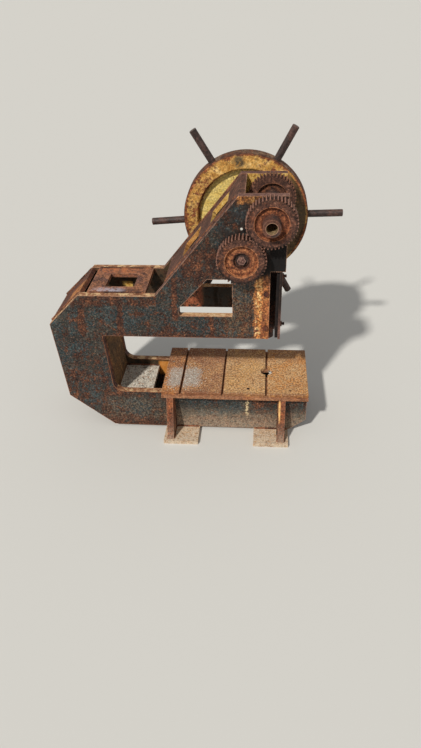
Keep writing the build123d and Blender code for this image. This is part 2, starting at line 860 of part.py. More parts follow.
holder_bottom = ram_bottom - holder_len
clamp_z = holder_bottom + shank_depth / 2
with BuildPart() as tool_holder:
    with BuildSketch(Plane.XY.offset(holder_bottom)):
        Circle(holder_r)
    extrude(amount=holder_len)
    with BuildSketch(Plane.XY.offset(ram_bottom)):
        Circle(spigot_r)
    extrude(amount=spigot_len)
    with BuildSketch(Plane.XY.offset(holder_bottom)):
        Circle(shank_r)
    extrude(amount=shank_depth, mode=Mode.SUBTRACT)
    with BuildSketch(front_facing(0)):
        with Locations((0, clamp_z)):
            Circle(clamp_screw_r + fit_gap)
    extrude(amount=holder_r, mode=Mode.SUBTRACT)
save(tool_holder.part, "tool_holder")

with BuildPart() as clamp_screw:
    with BuildSketch(front_facing(-shank_r)):
        with Locations((0, clamp_z)):
            Circle(clamp_screw_r)
    extrude(amount=holder_r - shank_r + clamp_screw_out)
    with BuildSketch(front_facing(-holder_r - clamp_screw_out)):
        with Locations((0, clamp_z)):
            Rectangle(clamp_head_af, clamp_head_af)
    extrude(amount=clamp_head_h)
save(clamp_screw.part, "clamp_screw")
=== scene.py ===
"""Looks for the manual stamping press: worn paint, rust, weld beads and cement crumbs."""

import random
from math import cos, hypot, pi, radians, sin, sqrt

import bmesh
import bpy
from mathutils import Matrix, Vector, noise


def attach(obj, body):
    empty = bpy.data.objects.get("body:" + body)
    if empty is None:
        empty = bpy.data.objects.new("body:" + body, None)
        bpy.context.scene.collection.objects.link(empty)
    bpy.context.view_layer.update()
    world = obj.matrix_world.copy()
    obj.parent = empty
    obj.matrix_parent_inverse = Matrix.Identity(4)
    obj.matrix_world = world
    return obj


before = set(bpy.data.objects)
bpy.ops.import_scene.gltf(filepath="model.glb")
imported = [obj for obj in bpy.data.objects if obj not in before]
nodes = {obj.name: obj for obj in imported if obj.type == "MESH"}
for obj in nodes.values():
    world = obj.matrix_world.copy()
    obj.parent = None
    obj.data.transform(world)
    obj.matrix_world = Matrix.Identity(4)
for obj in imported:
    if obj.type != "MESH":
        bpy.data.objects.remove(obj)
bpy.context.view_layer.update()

# Places in the part's frame, in metres
PLATE_OUT = 0.120
PLATE_IN = 0.095
TABLE_TOP = 0.200
ARM_FLOOR = 0.150
SHAFT_LOW = (-0.090, 0.73338)
SHAFT_HIGH = (0.0, 0.854)
INCLINE = ((-0.383, 0.584), (-0.101, 0.923))
GUSSETS = (-0.357, 0.059)
GUSSET_HALF = 0.012

# A small hole and a drill mark on the table: centre in X and Y, and radii from the edge inwards
HOLE_MARK = (-0.0665, -0.1125)
HOLE_EDGE = (0.0078, 0.0064)
DRILL_MARK = (0.087, -0.118)
DRILL_EDGE = (0.0042, 0.0030)

# Radii on the wheel, in metres: a look grows, fades or lies between each two
WHEEL_HUB = (0.050, 0.042)
WHEEL_WEB = (0.165, 0.155)
WHEEL_SPECKS = (0.150, 0.170)
WHEEL_RIM = (0.160, 0.170)
WHEEL_STEP = (0.166, 0.175)
WHEEL_EDGE = (0.203, 0.222)
WHEEL_SHADE_RADII = (0.217, 0.211)
WHEEL_OUTSIDE = (0.2185, 0.2205)

# The burnt mark on the wheel's rim: its distance and angle from the shaft, and its radius
BURN_REACH = 0.197
BURN_DEGREES = 97
BURN_SIZE = 0.020

# Radii on the gears, in the same way
GEAR_HUB = (0.031, 0.026)
GEAR_RING = (0.034, 0.040)
GEAR_LIP = (0.0500, 0.0535)
GEAR_RECESS = (0.0535, 0.0515)
GEAR_BAND = (0.0640, 0.0700)
GEAR_ROOTS = (0.0695, 0.0735)
GEAR_CRESTS = (0.0750, 0.0780)

# Radii at the upper shaft's bore, in the same way
BORE_RIM = (0.0160, 0.0190)
BORE_WALL = (0.0182, 0.0178)

# Places on the side plates, as ranges of X and Z
YELLOW_STRIP = ((-0.049, 0.030), (0.40, 0.660))
LIT_YELLOW_UNDER_HATCH = ((-0.543, -0.505), (0.480, 0.530))
PALE_RUN = ((-0.074, -0.066), (0.078, 0.150))
MOTTLED = ((-0.150, -0.050), (0.430, 0.700))
LOW_DUST = ((-0.395, 0.155), (0.020, 0.085))
ARM_DUST = ((-0.620, -0.395), (0.040, 0.150))
WINDOW_SILL = ((-0.310, -0.115), (0.503, 0.519))
LIT_ORANGE_BEHIND_WINDOW = ((-0.315, -0.246), (0.420, 0.530))
SHADE_BEHIND_WINDOW = ((-0.238, -0.080), (0.400, 0.560))
LIT_PATCH_BESIDE_TABLE = ((-0.436, -0.380), (0.105, 0.170))

# Round marks on the side plates: centre in X and Z, and radius
BLUE_SPOT = ((-0.098, 0.864), 0.022)
GREASE_AND_SHADE_SPOT = ((-0.040, 0.700), 0.048)
SHADE_SPOT_BEHIND_TEETH = ((-0.0808, 0.8166), 0.0052)
WHITE_SPOT = ((-0.0915, 0.8213), 0.0040)

# Ranges in one axis that hold a look
STRIP_BARE_X = (-0.024, 0.022)
STRIP_CREAM_X = (-0.046, -0.026)
YELLOW_PATCH_X = (-0.104, -0.024)
GUIDE_SHADE_Z = (0.640, 0.800)
CHAMFER_X = (-0.706, -0.648)
TOP_CHALK_X = (-0.600, -0.500)
TABLE_DUST_X = (-0.388, -0.235)
TABLE_DUST_Y = (-0.125, 0.030)
HATCH_FAR_Y = (0.0490, 0.0510)
GUSSET_LEFT_X = (0.0440, 0.0535)

# Ramps in one axis: a look grows from the first number to the second
YELLOW_PATCH_FROM_Z = (0.896, 0.903)
YELLOW_FROM_X = (-0.130, -0.110)
YELLOW_FROM_Z = (0.640, 0.660)
BROWN_FROM_X = (-0.240, -0.180)
BROWN_FROM_Z = (0.640, 0.690)
GUIDE_SHADE_FROM_X = (-0.012, 0.006)
GREASE_AND_SHADE_FROM_X = (-0.075, -0.045)
CUT_LIGHT_FROM_X = (-0.36, -0.40)
EDGE_LIGHT_FROM_Z = (0.40, 0.56)
FLOOR_DUST_FROM_X = (-0.400, -0.330)
WHEEL_RUST_FROM_X = (-0.190, -0.260)
WHEEL_RUST_FROM_Z = (0.80, 0.70)
WHEEL_CHIPS_FROM_X = (-0.060, 0.040)
WHEEL_SOUND_FROM_Z = (0.880, 0.920)
WHEEL_SHADE_FROM_X = (0.030, 0.070)
SHAFT_FRONT_FROM_Y = (-0.2010, -0.2018)
BORE_FRONT_FROM_Y = (-0.140, -0.150)
CHAMFER_FROM_Y = (0.025, -0.020)
TOP_RUST_FROM_X = (-0.440, -0.500)
TOP_RUST_FROM_Y = (0.030, 0.075)
TOP_CHALK_FROM_Y = (-0.050, -0.075)
TABLE_BACK_FROM_Y = (0.02, 0.13)
TABLE_FRONT_FROM_Y = (-0.130, -0.143)
HOLE_SHADE_FROM_Z = (0.1998, 0.1990)
HATCH_ORANGE_FROM_Z = (0.835, 0.795)
GUSSET_LIGHT_FROM_Z = (0.085, 0.110)
END_PLATE_FROM_Z = (0.450, 0.560)

# Ranges of X and Z where more of the paint is gone, with their soft edge and how much more
WORN_PLACES = (
    ((-0.300, 0.060), (0.650, 0.960), 0.030, 0.022),
    ((-0.300, -0.130), (0.640, 0.740), 0.030, 0.022),
    ((-0.700, -0.380), (0.548, 0.600), 0.006, 0.034),
    ((-0.480, -0.355), (0.512, 0.524), 0.005, 0.040),
    ((-0.600, -0.040), (0.400, 0.437), 0.006, 0.040),
    ((-0.790, -0.560), (0.020, 0.300), 0.060, 0.020),
    ((-0.610, 0.160), (0.150, 0.190), 0.008, 0.030),
    ((-0.610, 0.160), (0.000, 0.060), 0.020, 0.045),
)

# Upright runs of rust: middle in X, half width, and range in Z
RUST_LANES = (
    (-0.507, 0.010, (0.435, 0.570)),
    (-0.316, 0.008, (0.500, 0.640)),
    (-0.196, 0.007, (0.430, 0.508)),
    (-0.648, 0.012, (0.430, 0.530)),
)

# Round patches where the paint holds: centre in X and Z, and radius
SOUND_PATCHES = (
    ((-0.095, 0.868), 0.026),
    ((-0.160, 0.800), 0.030),
    ((-0.480, 0.105), 0.036),
    ((-0.270, 0.120), 0.050),
    ((-0.130, 0.125), 0.045),
)

# Welds of the cross plates along a side plate: two ends in X and Z, and the bead's radius in metres
CROSS_SEAMS = (
    ((-0.619, 0.5825), (-0.421, 0.5825), 0.0050),
    ((-0.7645, 0.472), (-0.648, 0.5820), 0.0045),
    ((-0.7635, 0.462), (-0.7490, 0.160), 0.0040),
    ((-0.742, 0.148), (-0.604, 0.028), 0.0040),
    ((-0.5812, 0.400), (-0.5725, 0.215), 0.0040),
    ((-0.585, 0.151), (-0.437, 0.151), 0.0040),
)

# Other welds: up the incline, in the spine's corners, round the gussets and along the feet
INCLINE_SEAM = (0.056, 0.430)
INCLINE_BEAD = 0.0040
CORNER_SEAMS = ((-0.7585, 0.4662), (-0.7412, 0.1563))
CORNER_SEAM_HALF = 0.0975
CORNER_BEAD = 0.0078
GUSSET_SEAM_Y = (0.124, 0.196)
GUSSET_SEAM_Z = (0.020, 0.172)
GUSSET_BEAD = 0.0040
FOOT_SEAMS = ((-0.381, -0.371), (-0.343, -0.255), (-0.042, 0.045), (0.073, 0.084))
FOOT_SEAM_Z = 0.0155
FOOT_BEAD = 0.0045
SEAM_INSET = 0.0008
SEAM_OUTSET = 0.0005

# Where cement lies: ranges on the arm's floor, the heap on the table, and a ring at the slug hole
FLOOR_X = (-0.562, -0.439)
FLOOR_Y = (-0.088, 0.088)
HEAP = (-0.312, -0.050)
HEAP_SPREAD = 0.042
HEAP_X = (-0.383, -0.20)
TABLE_HALF = 0.138
LEFT_SLOT_X = -0.3175
LEFT_SLOT_HALF = 0.0055
HOLE_RING = (0.013, 0.0215)
HOLE_RING_Z = (0.184, 0.192)

# How many bits of cement lie at each of these, and their sizes
FLOOR_CRUMBS = 900
FLOOR_SIZES = (0.0012, 0.0016, 0.0022, 0.0032)
TABLE_CRUMBS = 340
TABLE_SIZES = (0.0010, 0.0014, 0.0020, 0.0026)
HOLE_CRUMBS = 80
HOLE_SIZES = (0.0024, 0.0036)

# How much of a ramp's width is used: less gives harder contrast
RAMP_WIDTH = 0.72

# The photo's camera: its place, its angles in degrees (down, clockwise, to the left) and its focal length
CAMERA_PLACE = (-0.025, -1.7881, 1.5)
CAMERA_ANGLES = (36.268, -2.227, 6.117)
FOCAL_PX = 572.06


def rgb(red, green, blue):
    """A colour as it looks on a screen, from 0 to 255, turned into the renderer's linear numbers."""
    linear = [c / 3294.6 if c <= 10 else ((c / 255 + 0.055) / 1.055) ** 2.4 for c in (red, green, blue)]
    return (*linear, 1.0)


class Shade:
    """A material built from noise, masks and colours in the part's own coordinates."""

    def __init__(self, name):
        self.material = bpy.data.materials.new(name)
        self.material.use_nodes = True
        self.tree = self.material.node_tree
        self.tree.nodes.clear()
        self.bsdf = self.tree.nodes.new("ShaderNodeBsdfPrincipled")
        out = self.tree.nodes.new("ShaderNodeOutputMaterial")
        self.tree.links.new(self.bsdf.outputs[0], out.inputs[0])
        coordinates = self.tree.nodes.new("ShaderNodeTexCoord")
        self.place = coordinates.outputs["Object"]
        self.facing = coordinates.outputs["Normal"]
        self.seed = 0.0

    def put(self, socket, value):
        """Links a socket to the value, or sets it where the value is a plain one."""
        if isinstance(value, bpy.types.NodeSocket):
            self.tree.links.new(value, socket)
        else:
            socket.default_value = value

    def calc(self, operation, a, b=0.0):
        """The result of one of Blender's Math operations."""
        node = self.tree.nodes.new("ShaderNodeMath")
        node.operation = operation
        self.put(node.inputs[0], a)
        self.put(node.inputs[1], b)
        return node.outputs[0]

    def axes(self, vector=None):
        """The X, Y and Z of a vector, or of the place."""
        node = self.tree.nodes.new("ShaderNodeSeparateXYZ")
        self.put(node.inputs[0], vector or self.place)
        return node.outputs

    def noise(self, scale, detail=4.0, rough=0.55, warp=0.0, stretch=(1, 1, 1)):
        """Noise with a scale in features per metre; stretch changes the scale of each axis."""
        self.seed += 3.7
        mapping = self.tree.nodes.new("ShaderNodeMapping")
        self.put(mapping.inputs["Vector"], self.place)
        mapping.inputs["Location"].default_value = (self.seed, self.seed * 0.7, -self.seed)
        mapping.inputs["Scale"].default_value = stretch
        node = self.tree.nodes.new("ShaderNodeTexNoise")
        self.put(node.inputs["Vector"], mapping.outputs[0])
        node.inputs["Scale"].default_value = scale
        node.inputs["Detail"].default_value = detail
        node.inputs["Roughness"].default_value = rough
        node.inputs["Distortion"].default_value = warp
        return node.outputs["Fac"]

    def span(self, value, low, high, to_low=0.0, to_high=1.0):
        """A smooth step from to_low to to_high while value goes from low to high."""
        node = self.tree.nodes.new("ShaderNodeMapRange")
        node.interpolation_type = "SMOOTHSTEP"
        for number, item in enumerate((value, low, high, to_low, to_high)):
            self.put(node.inputs[number], item)
        return node.outputs[0]

    def window(self, value, low, high, soft):
        """1 where value is between low and high, with soft edges."""
        inside = self.span(value, low - soft, low + soft)
        return self.calc("MULTIPLY", inside, self.span(value, high - soft, high + soft, 1.0, 0.0))

    def area(self, x_range, z_range, soft, axes=None):
        """A soft rectangle in X and Z."""
        x, _, z = axes or self.axes()
        return self.both(self.window(x, *x_range, soft), self.window(z, *z_range, soft))

    def both(self, *masks):
        """All the masks together: their product."""
        result = masks[0]
        for mask in masks[1:]:
            result = self.calc("MULTIPLY", result, mask)
        return result

    def either(self, *masks):
        """Any of the masks: the highest of them."""
        result = masks[0]
        for mask in masks[1:]:
            result = self.calc("MAXIMUM", result, mask)
        return result

    def add(self, *terms):
        """The sum of pairs of a value and its weight."""
        result = self.calc("MULTIPLY", *terms[0])
        for value, weight in terms[1:]:
            result = self.calc("ADD", self.calc("MULTIPLY", value, weight), result)
        return result

    def plus(self, value, mask, amount):
        """The value, with amount added where the mask is 1."""
        return self.calc("ADD", value, self.calc("MULTIPLY", mask, amount))

    def ragged(self, axis, scale, reach, detail=8, rough=0.8):
        """An axis shifted by noise, so that a mask made from it has a ragged edge."""
        shift = self.calc("MULTIPLY", self.calc("SUBTRACT", self.noise(scale, detail, rough), 0.5), reach)
        return self.calc("ADD", axis, shift)

    def upward(self, low=0.5, high=0.8):
        """1 on faces that look up."""
        return self.span(self.axes(self.facing)[2], low, high)

    def mix(self, share, a, b):
        """Colour a where share is 0, and colour b where it is 1."""
        node = self.tree.nodes.new("ShaderNodeMix")
        node.data_type = "RGBA"
        self.put(node.inputs[0], share)
        self.put(node.inputs[6], a)
        self.put(node.inputs[7], b)
        return node.outputs[2]

    def ramp(self, value, *stops):
        """A colour for each place along value."""
        node = self.tree.nodes.new("ShaderNodeValToRGB")
        self.put(node.inputs[0], value)
        elements = node.color_ramp.elements
        while len(elements) < len(stops):
            elements.new(0.5)
        for element, (position, colour) in zip(elements, stops):
            element.position = 0.5 + (position - 0.5) * RAMP_WIDTH
            element.color = colour
        return node.outputs[0]

    def edges(self, radius=0.006):
        """1 on edges and corners, 0 on flat faces."""
        bevel = self.tree.nodes.new("ShaderNodeBevel")
        bevel.samples = 6
        bevel.inputs["Radius"].default_value = radius
        geometry = self.tree.nodes.new("ShaderNodeNewGeometry")
        dot = self.tree.nodes.new("ShaderNodeVectorMath")
        dot.operation = "DOT_PRODUCT"
        self.put(dot.inputs[0], bevel.outputs[0])
        self.put(dot.inputs[1], geometry.outputs["True Normal"])
        return self.span(dot.outputs["Value"], 0.985, 0.80)

    def distance(self, u, v, centre):
        """Distance from centre along two of the axes."""
        du = self.calc("POWER", self.calc("SUBTRACT", u, centre[0]), 2.0)
        dv = self.calc("POWER", self.calc("SUBTRACT", v, centre[1]), 2.0)
        return self.calc("SQRT", self.calc("ADD", du, dv))

    def radius(self, centre):
        """Distance from an axis along Y through centre."""
        x, _, z = self.axes()
        return self.distance(x, z, centre)

    def spot(self, centre, size, soft=0.35):
        """A round patch in the XZ plane."""
        return self.span(self.radius(centre), size * (1 + soft), size * (1 - soft))

    def specks(self, scale, low, high):
        """Small separate dots."""
        return self.span(self.noise(scale, 3, 0.6), low, high)

    def grit(self, colour, amount, scale=150):
        """Fine grain that makes a colour lighter or darker, by up to amount."""
        node = self.tree.nodes.new("ShaderNodeVectorMath")
        node.operation = "SCALE"
        self.put(node.inputs[0], colour)
        grain = self.noise(scale, 4, 0.70)
        self.put(node.inputs["Scale"], self.span(grain, 0.40, 0.60, 1 - amount, 1 + amount))
        return node.outputs[0]

    def finish(self, colour, rough, bumps=()):
        """Sets colour and roughness, and adds bumps: pairs of a height and its depth in metres."""
        self.put(self.bsdf.inputs["Base Color"], colour)
        self.put(self.bsdf.inputs["Roughness"], rough)
        self.bsdf.inputs["Specular IOR Level"].default_value = 0.35
        below = None
        for height, depth in bumps:
            bump = self.tree.nodes.new("ShaderNodeBump")
            bump.inputs["Distance"].default_value = depth
            bump.inputs["Strength"].default_value = 1.0
            self.put(bump.inputs["Height"], height)
            if below:
                self.put(bump.inputs["Normal"], below)
            below = bump.outputs[0]
        if below:
            self.put(self.bsdf.inputs["Normal"], below)
        return self.material


def tones(places, *colours):
    """A ramp's stops: the places along a noise value, from dark to light, and their colours."""
    return tuple((place, rgb(*colour)) for place, colour in zip(places, colours))


PAINT = tones((0.34, 0.45, 0.55, 0.68), (16, 16, 15), (35, 36, 32), (52, 52, 47), (86, 84, 75))
TEAL = tones((0.34, 0.45, 0.55, 0.68), (14, 21, 23), (29, 40, 42), (43, 57, 59), (73, 89, 88))
RUST = tones((0.34, 0.44, 0.54, 0.67), (22, 12, 10), (48, 27, 20), (76, 45, 31), (136, 84, 54))
YELLOW = tones((0.32, 0.45, 0.56, 0.70), (104, 54, 28), (162, 96, 48), (196, 132, 70), (228, 180, 116))
OCHRE = tones((0.32, 0.45, 0.56, 0.70), (150, 104, 44), (196, 150, 70), (216, 176, 96), (232, 202, 132))
ORANGE = tones((0.32, 0.44, 0.55, 0.70), (60, 31, 21), (108, 59, 36), (148, 86, 50), (198, 134, 88))
EMBER = tones((0.32, 0.44, 0.55, 0.70), (48, 25, 17), (94, 51, 31), (132, 77, 46), (186, 124, 80))
RED = tones((0.32, 0.44, 0.55, 0.70), (38, 18, 12), (76, 39, 24), (108, 59, 36), (172, 106, 66))
PURPLE = tones((0.32, 0.44, 0.55, 0.70), (42, 27, 25), (74, 49, 43), (102, 71, 62), (152, 114, 98))
TEETH = tones((0.32, 0.44, 0.55, 0.70), (30, 17, 14), (58, 35, 27), (90, 58, 45), (150, 106, 84))
TAN = tones((0.30, 0.43, 0.55, 0.70), (120, 74, 44), (166, 120, 76), (188, 148, 102), (210, 178, 138))
CLAY = tones((0.30, 0.43, 0.55, 0.70), (80, 46, 32), (124, 80, 54), (152, 106, 74), (190, 150, 116))
INSIDE = tones((0.32, 0.45, 0.56, 0.70), (44, 29, 16), (84, 58, 32), (122, 86, 48), (176, 132, 82))
OLIVE = tones((0.32, 0.45, 0.56, 0.70), (26, 21, 15), (52, 42, 28), (82, 62, 42), (122, 92, 60))
DARK = tones((0.32, 0.45, 0.56, 0.70), (22, 16, 15), (42, 31, 28), (62, 46, 42), (98, 76, 68))
SOOT_SHADE_TONES = tones((0.32, 0.45, 0.56, 0.70), (9, 6, 6), (17, 12, 11), (27, 19, 17), (54, 38, 32))
SUNLIT_ORANGE = tones((0.36, 0.46, 0.55, 0.66), (70, 34, 22), (130, 68, 42), (174, 100, 66), (222, 158, 118))
SILL_HIGHLIGHT = tones((0.32, 0.44, 0.55, 0.70), (136, 86, 60), (188, 136, 96), (214, 172, 126), (238, 212, 172))
RIM_PAINT = tones((0.36, 0.50, 0.64), (168, 116, 52), (206, 158, 84), (226, 188, 122))
WEB_PAINT = tones((0.36, 0.50, 0.64), (204, 170, 88), (222, 194, 112), (232, 208, 136))
STONE = tones((0.34, 0.48, 0.62), (100, 92, 84), (172, 164, 150), (220, 214, 202))
GRAVEL = tones((0.42, 0.58), (172, 160, 140), (240, 234, 220))
TABLE_DUST = tones((0.42, 0.58), (128, 108, 92), (206, 200, 190))
BORE_DUST_AND_LIGHT = tones((0.40, 0.60), (92, 72, 46), (166, 140, 100))

# Single colours: dust, dirt, specks, worn edges, and painted light and shade
DUST = rgb(198, 180, 156)
STREAK = rgb(206, 184, 142)
LOW_DUST_TINT = rgb(158, 126, 96)
ARM_DUST_TINT = rgb(136, 116, 94)
ARRIS = rgb(196, 148, 120)
ARRIS_LOW = rgb(176, 112, 74)
RUBBED_HIGHLIGHT = rgb(224, 190, 142)
CREAM = rgb(240, 204, 140)
BLUE_SLATE = rgb(46, 62, 70)
MOTTLE = rgb(112, 88, 64)
SPECK_RUST = rgb(108, 62, 40)
SPECK_DARK = rgb(26, 22, 21)
SPECK_PALE = rgb(150, 130, 106)
SPECK_WHEEL = rgb(92, 54, 32)
HEAD_BROWN = rgb(36, 20, 14)
WINDOW_SHADE = rgb(20, 15, 10)
LIT_PLATE_ORANGE = rgb(230, 132, 54)
GREASE_AND_SHADE = rgb(9, 6, 5)
SHADE_BLACK = rgb(16, 12, 11)
SPOT_WHITE = rgb(226, 222, 212)
BURNT = rgb(56, 54, 46)
RIM_SHADE = rgb(52, 38, 22)
HUB_GREASE = rgb(50, 30, 25)
ROOT_DIRT_AND_SHADE = rgb(32, 20, 17)
TOOTH_EDGE = rgb(176, 124, 98)
GEAR_SHADE = rgb(22, 13, 11)


def dusting(s, colour, amount, height):
    """Cement dust that thins out upwards from the floor."""
    z = s.axes()[2]
    low = s.span(z, height, 0.0, 0.0, amount)
    cloud = s.add((s.noise(60, 9, 0.78), 0.5), (s.noise(170, 5, 0.8), 0.5))
    return s.mix(s.both(low, s.span(cloud, 0.40, 0.54)), colour, s.grit(DUST[:3], 0.20, 210))


def paint_wear(s, grain, runs, big):
    """How far the side plates' paint is gone: rust shows where this is over a half."""
    x, _, z = axes = s.axes()
    level = s.add((grain, 0.42), (s.noise(130, 6, 0.8), 0.22), (runs, 0.20), (big, 0.16))
    for x_range, z_range, soft, more in WORN_PLACES:
        level = s.plus(level, s.area(x_range, z_range, soft, axes), more)
    swayed = s.ragged(x, 9, 0.05, 6, 0.7)
    for middle, half, z_range in RUST_LANES:
        lane = s.both(s.window(swayed, middle - half, middle + half, 0.005), s.window(z, *z_range, 0.02))
        level = s.plus(level, lane, 0.095)
    for centre, size in SOUND_PATCHES:
        level = s.plus(level, s.spot(centre, size, 0.6), -0.075)
    return level


def slate_and_rust(s, grain, runs, big, fine):
    """The side plates' paint, rust and specks: gives the rust's mask, its colour and the whole."""
    rusty = s.span(paint_wear(s, grain, runs, big), 0.506, 0.534)
    tone = s.add((s.noise(90, 8, 0.78), 0.55), (s.noise(24, 8, 0.75, 0.3), 0.45))
    bluish = s.span(s.add((s.noise(12, 9, 0.75, 0.5), 0.8), (fine, 0.2)), 0.475, 0.535)
    paint = s.mix(bluish, s.ramp(tone, *PAINT), s.ramp(tone, *TEAL))
    rust = s.ramp(s.add((s.noise(70, 9, 0.78, 0.4), 0.55), (s.noise(22, 8, 0.75), 0.45)), *RUST)
    colour = s.mix(rusty, paint, rust)
    colour = s.mix(s.both(s.specks(260, 0.585, 0.64), 0.8), colour, SPECK_RUST)
    colour = s.mix(s.both(s.specks(230, 0.59, 0.65), 0.7), colour, SPECK_DARK)
    colour = s.mix(s.both(s.specks(340, 0.62, 0.68), 0.6), colour, SPECK_PALE)
    mottled = s.both(s.area(*MOTTLED, 0.030), s.span(s.noise(110, 8, 0.8), 0.48, 0.56))
    colour = s.mix(s.both(mottled, 0.6), colour, MOTTLE)
    teal = s.both(s.spot(*BLUE_SPOT, 0.5), s.span(grain, 0.44, 0.52))
    return rusty, rust, s.mix(s.both(teal, 0.6), colour, BLUE_SLATE)


def yellow_remains(s, colour, grain, runs, fine):
    """Adds the upright yellow strip by the guide and the yellow patch at the head's top, and a pale run."""
    x, y, z = s.axes()
    yellow = s.ramp(s.add((s.noise(80, 8, 0.78), 0.65), (runs, 0.35)), *YELLOW)
    across = s.ragged(x, 60, 0.050)
    raised = s.ragged(z, 70, 0.060)
    strip = s.both(s.window(across, *YELLOW_STRIP[0], 0.003), s.window(z, *YELLOW_STRIP[1], 0.010))
    patch = s.both(s.window(across, *YELLOW_PATCH_X, 0.005), s.span(raised, *YELLOW_PATCH_FROM_Z))
    wiped = s.span(s.add((grain, 0.55), (runs, 0.45)), 0.445, 0.485)
    colour = s.mix(s.both(strip, 0.85), colour, s.ramp(s.noise(75, 8, 0.78), *ORANGE))
    colour = s.mix(s.both(s.either(strip, patch), wiped), colour, yellow)
    bare = s.span(s.add((grain, 0.5), (fine, 0.5)), 0.44, 0.50)
    worn_side = s.both(strip, s.window(x, *STRIP_BARE_X, 0.006), bare)
    colour = s.mix(s.both(worn_side, 0.85), colour, s.ramp(s.noise(75, 8, 0.78), *ORANGE))
    cream = s.both(strip, s.window(x, *STRIP_CREAM_X, 0.004), s.span(s.noise(90, 8, 0.8), 0.50, 0.58))
    colour = s.mix(s.both(cream, 0.7), colour, CREAM)
    front = s.span(y, 0.0, -0.010)
    streak = s.both(s.window(across, *PALE_RUN[0], 0.003), s.window(z, *PALE_RUN[1], 0.010), front)
    return s.mix(s.both(streak, 0.8), colour, STREAK)


def inside_colour(s, grain, rust, yellow):
    """The plates' inner faces: yellow in the head and under the hatch, rust and orange elsewhere; the
    yellow under the hatch and the orange behind the window and beside the table are painted light, and the
    dark behind the window is painted shade.
    """
    x, y, z = axes = s.axes()
    slate = s.ramp(grain, *OLIVE)
    orange = s.ramp(s.add((grain, 0.4), (s.noise(120, 8, 0.8), 0.6)), *SUNLIT_ORANGE)
    colour = s.mix(s.span(grain, 0.52, 0.59), slate, rust)
    # Painted light: a lit orange patch on the inner face behind the window
    bright = s.both(s.area(*LIT_ORANGE_BEHIND_WINDOW, 0.008, axes), s.span(grain, 0.42, 0.48))
    colour = s.mix(bright, colour, orange)
    # Painted shade: the rest of the inner face behind the window is darkened
    colour = s.mix(s.both(s.area(*SHADE_BEHIND_WINDOW, 0.008, axes), 0.65), colour, WINDOW_SHADE)
    # Orange paint beside the table, made bright as a painted pool of light
    lit_beside_table = s.both(s.area(*LIT_PATCH_BESIDE_TABLE, 0.006, axes), s.span(y, 0.0, 0.01))
    colour = s.mix(s.both(lit_beside_table, 0.9), colour, s.mix(0.6, yellow, LIT_PLATE_ORANGE))
    above = s.both(s.span(x, *YELLOW_FROM_X), s.span(z, *YELLOW_FROM_Z))
    # The yellow under the hatch is yellow paint shown as a painted pool of light, where light falls through
    # the hatch
    below = s.area(*LIT_YELLOW_UNDER_HATCH, 0.003, axes)
    strong = s.span(grain, 0.580, 0.550)
    return s.mix(s.both(s.either(above, below), strong), colour, yellow)


def cut_colour(s, big):
    """The side plates' flame-cut faces: lighter where they look up (painted light), and a painted highlight
    on the window's sill.
    """
    x = s.axes()[0]
    up = s.upward(0.62, 0.70)
    colour = s.ramp(s.add((s.noise(60, 9, 0.78), 0.7), (big, 0.3)), *PURPLE)
    # Painted light: cut faces that look up, on the left, are lighter, with pale rubbed patches
    lit = s.both(up, s.span(x, *CUT_LIGHT_FROM_X))
    colour = s.mix(lit, colour, s.ramp(s.noise(60, 9, 0.78), *CLAY))
    rubbed_highlight = s.both(lit, s.span(s.noise(38, 8, 0.8), 0.50, 0.58), 0.8)
    colour = s.mix(rubbed_highlight, colour, RUBBED_HIGHLIGHT)
    # A painted highlight on the window's sill
    sill = s.both(up, s.area(*WINDOW_SILL, 0.003), 0.9)
    return s.mix(sill, colour, s.ramp(s.noise(50, 8, 0.78), *SILL_HIGHLIGHT))


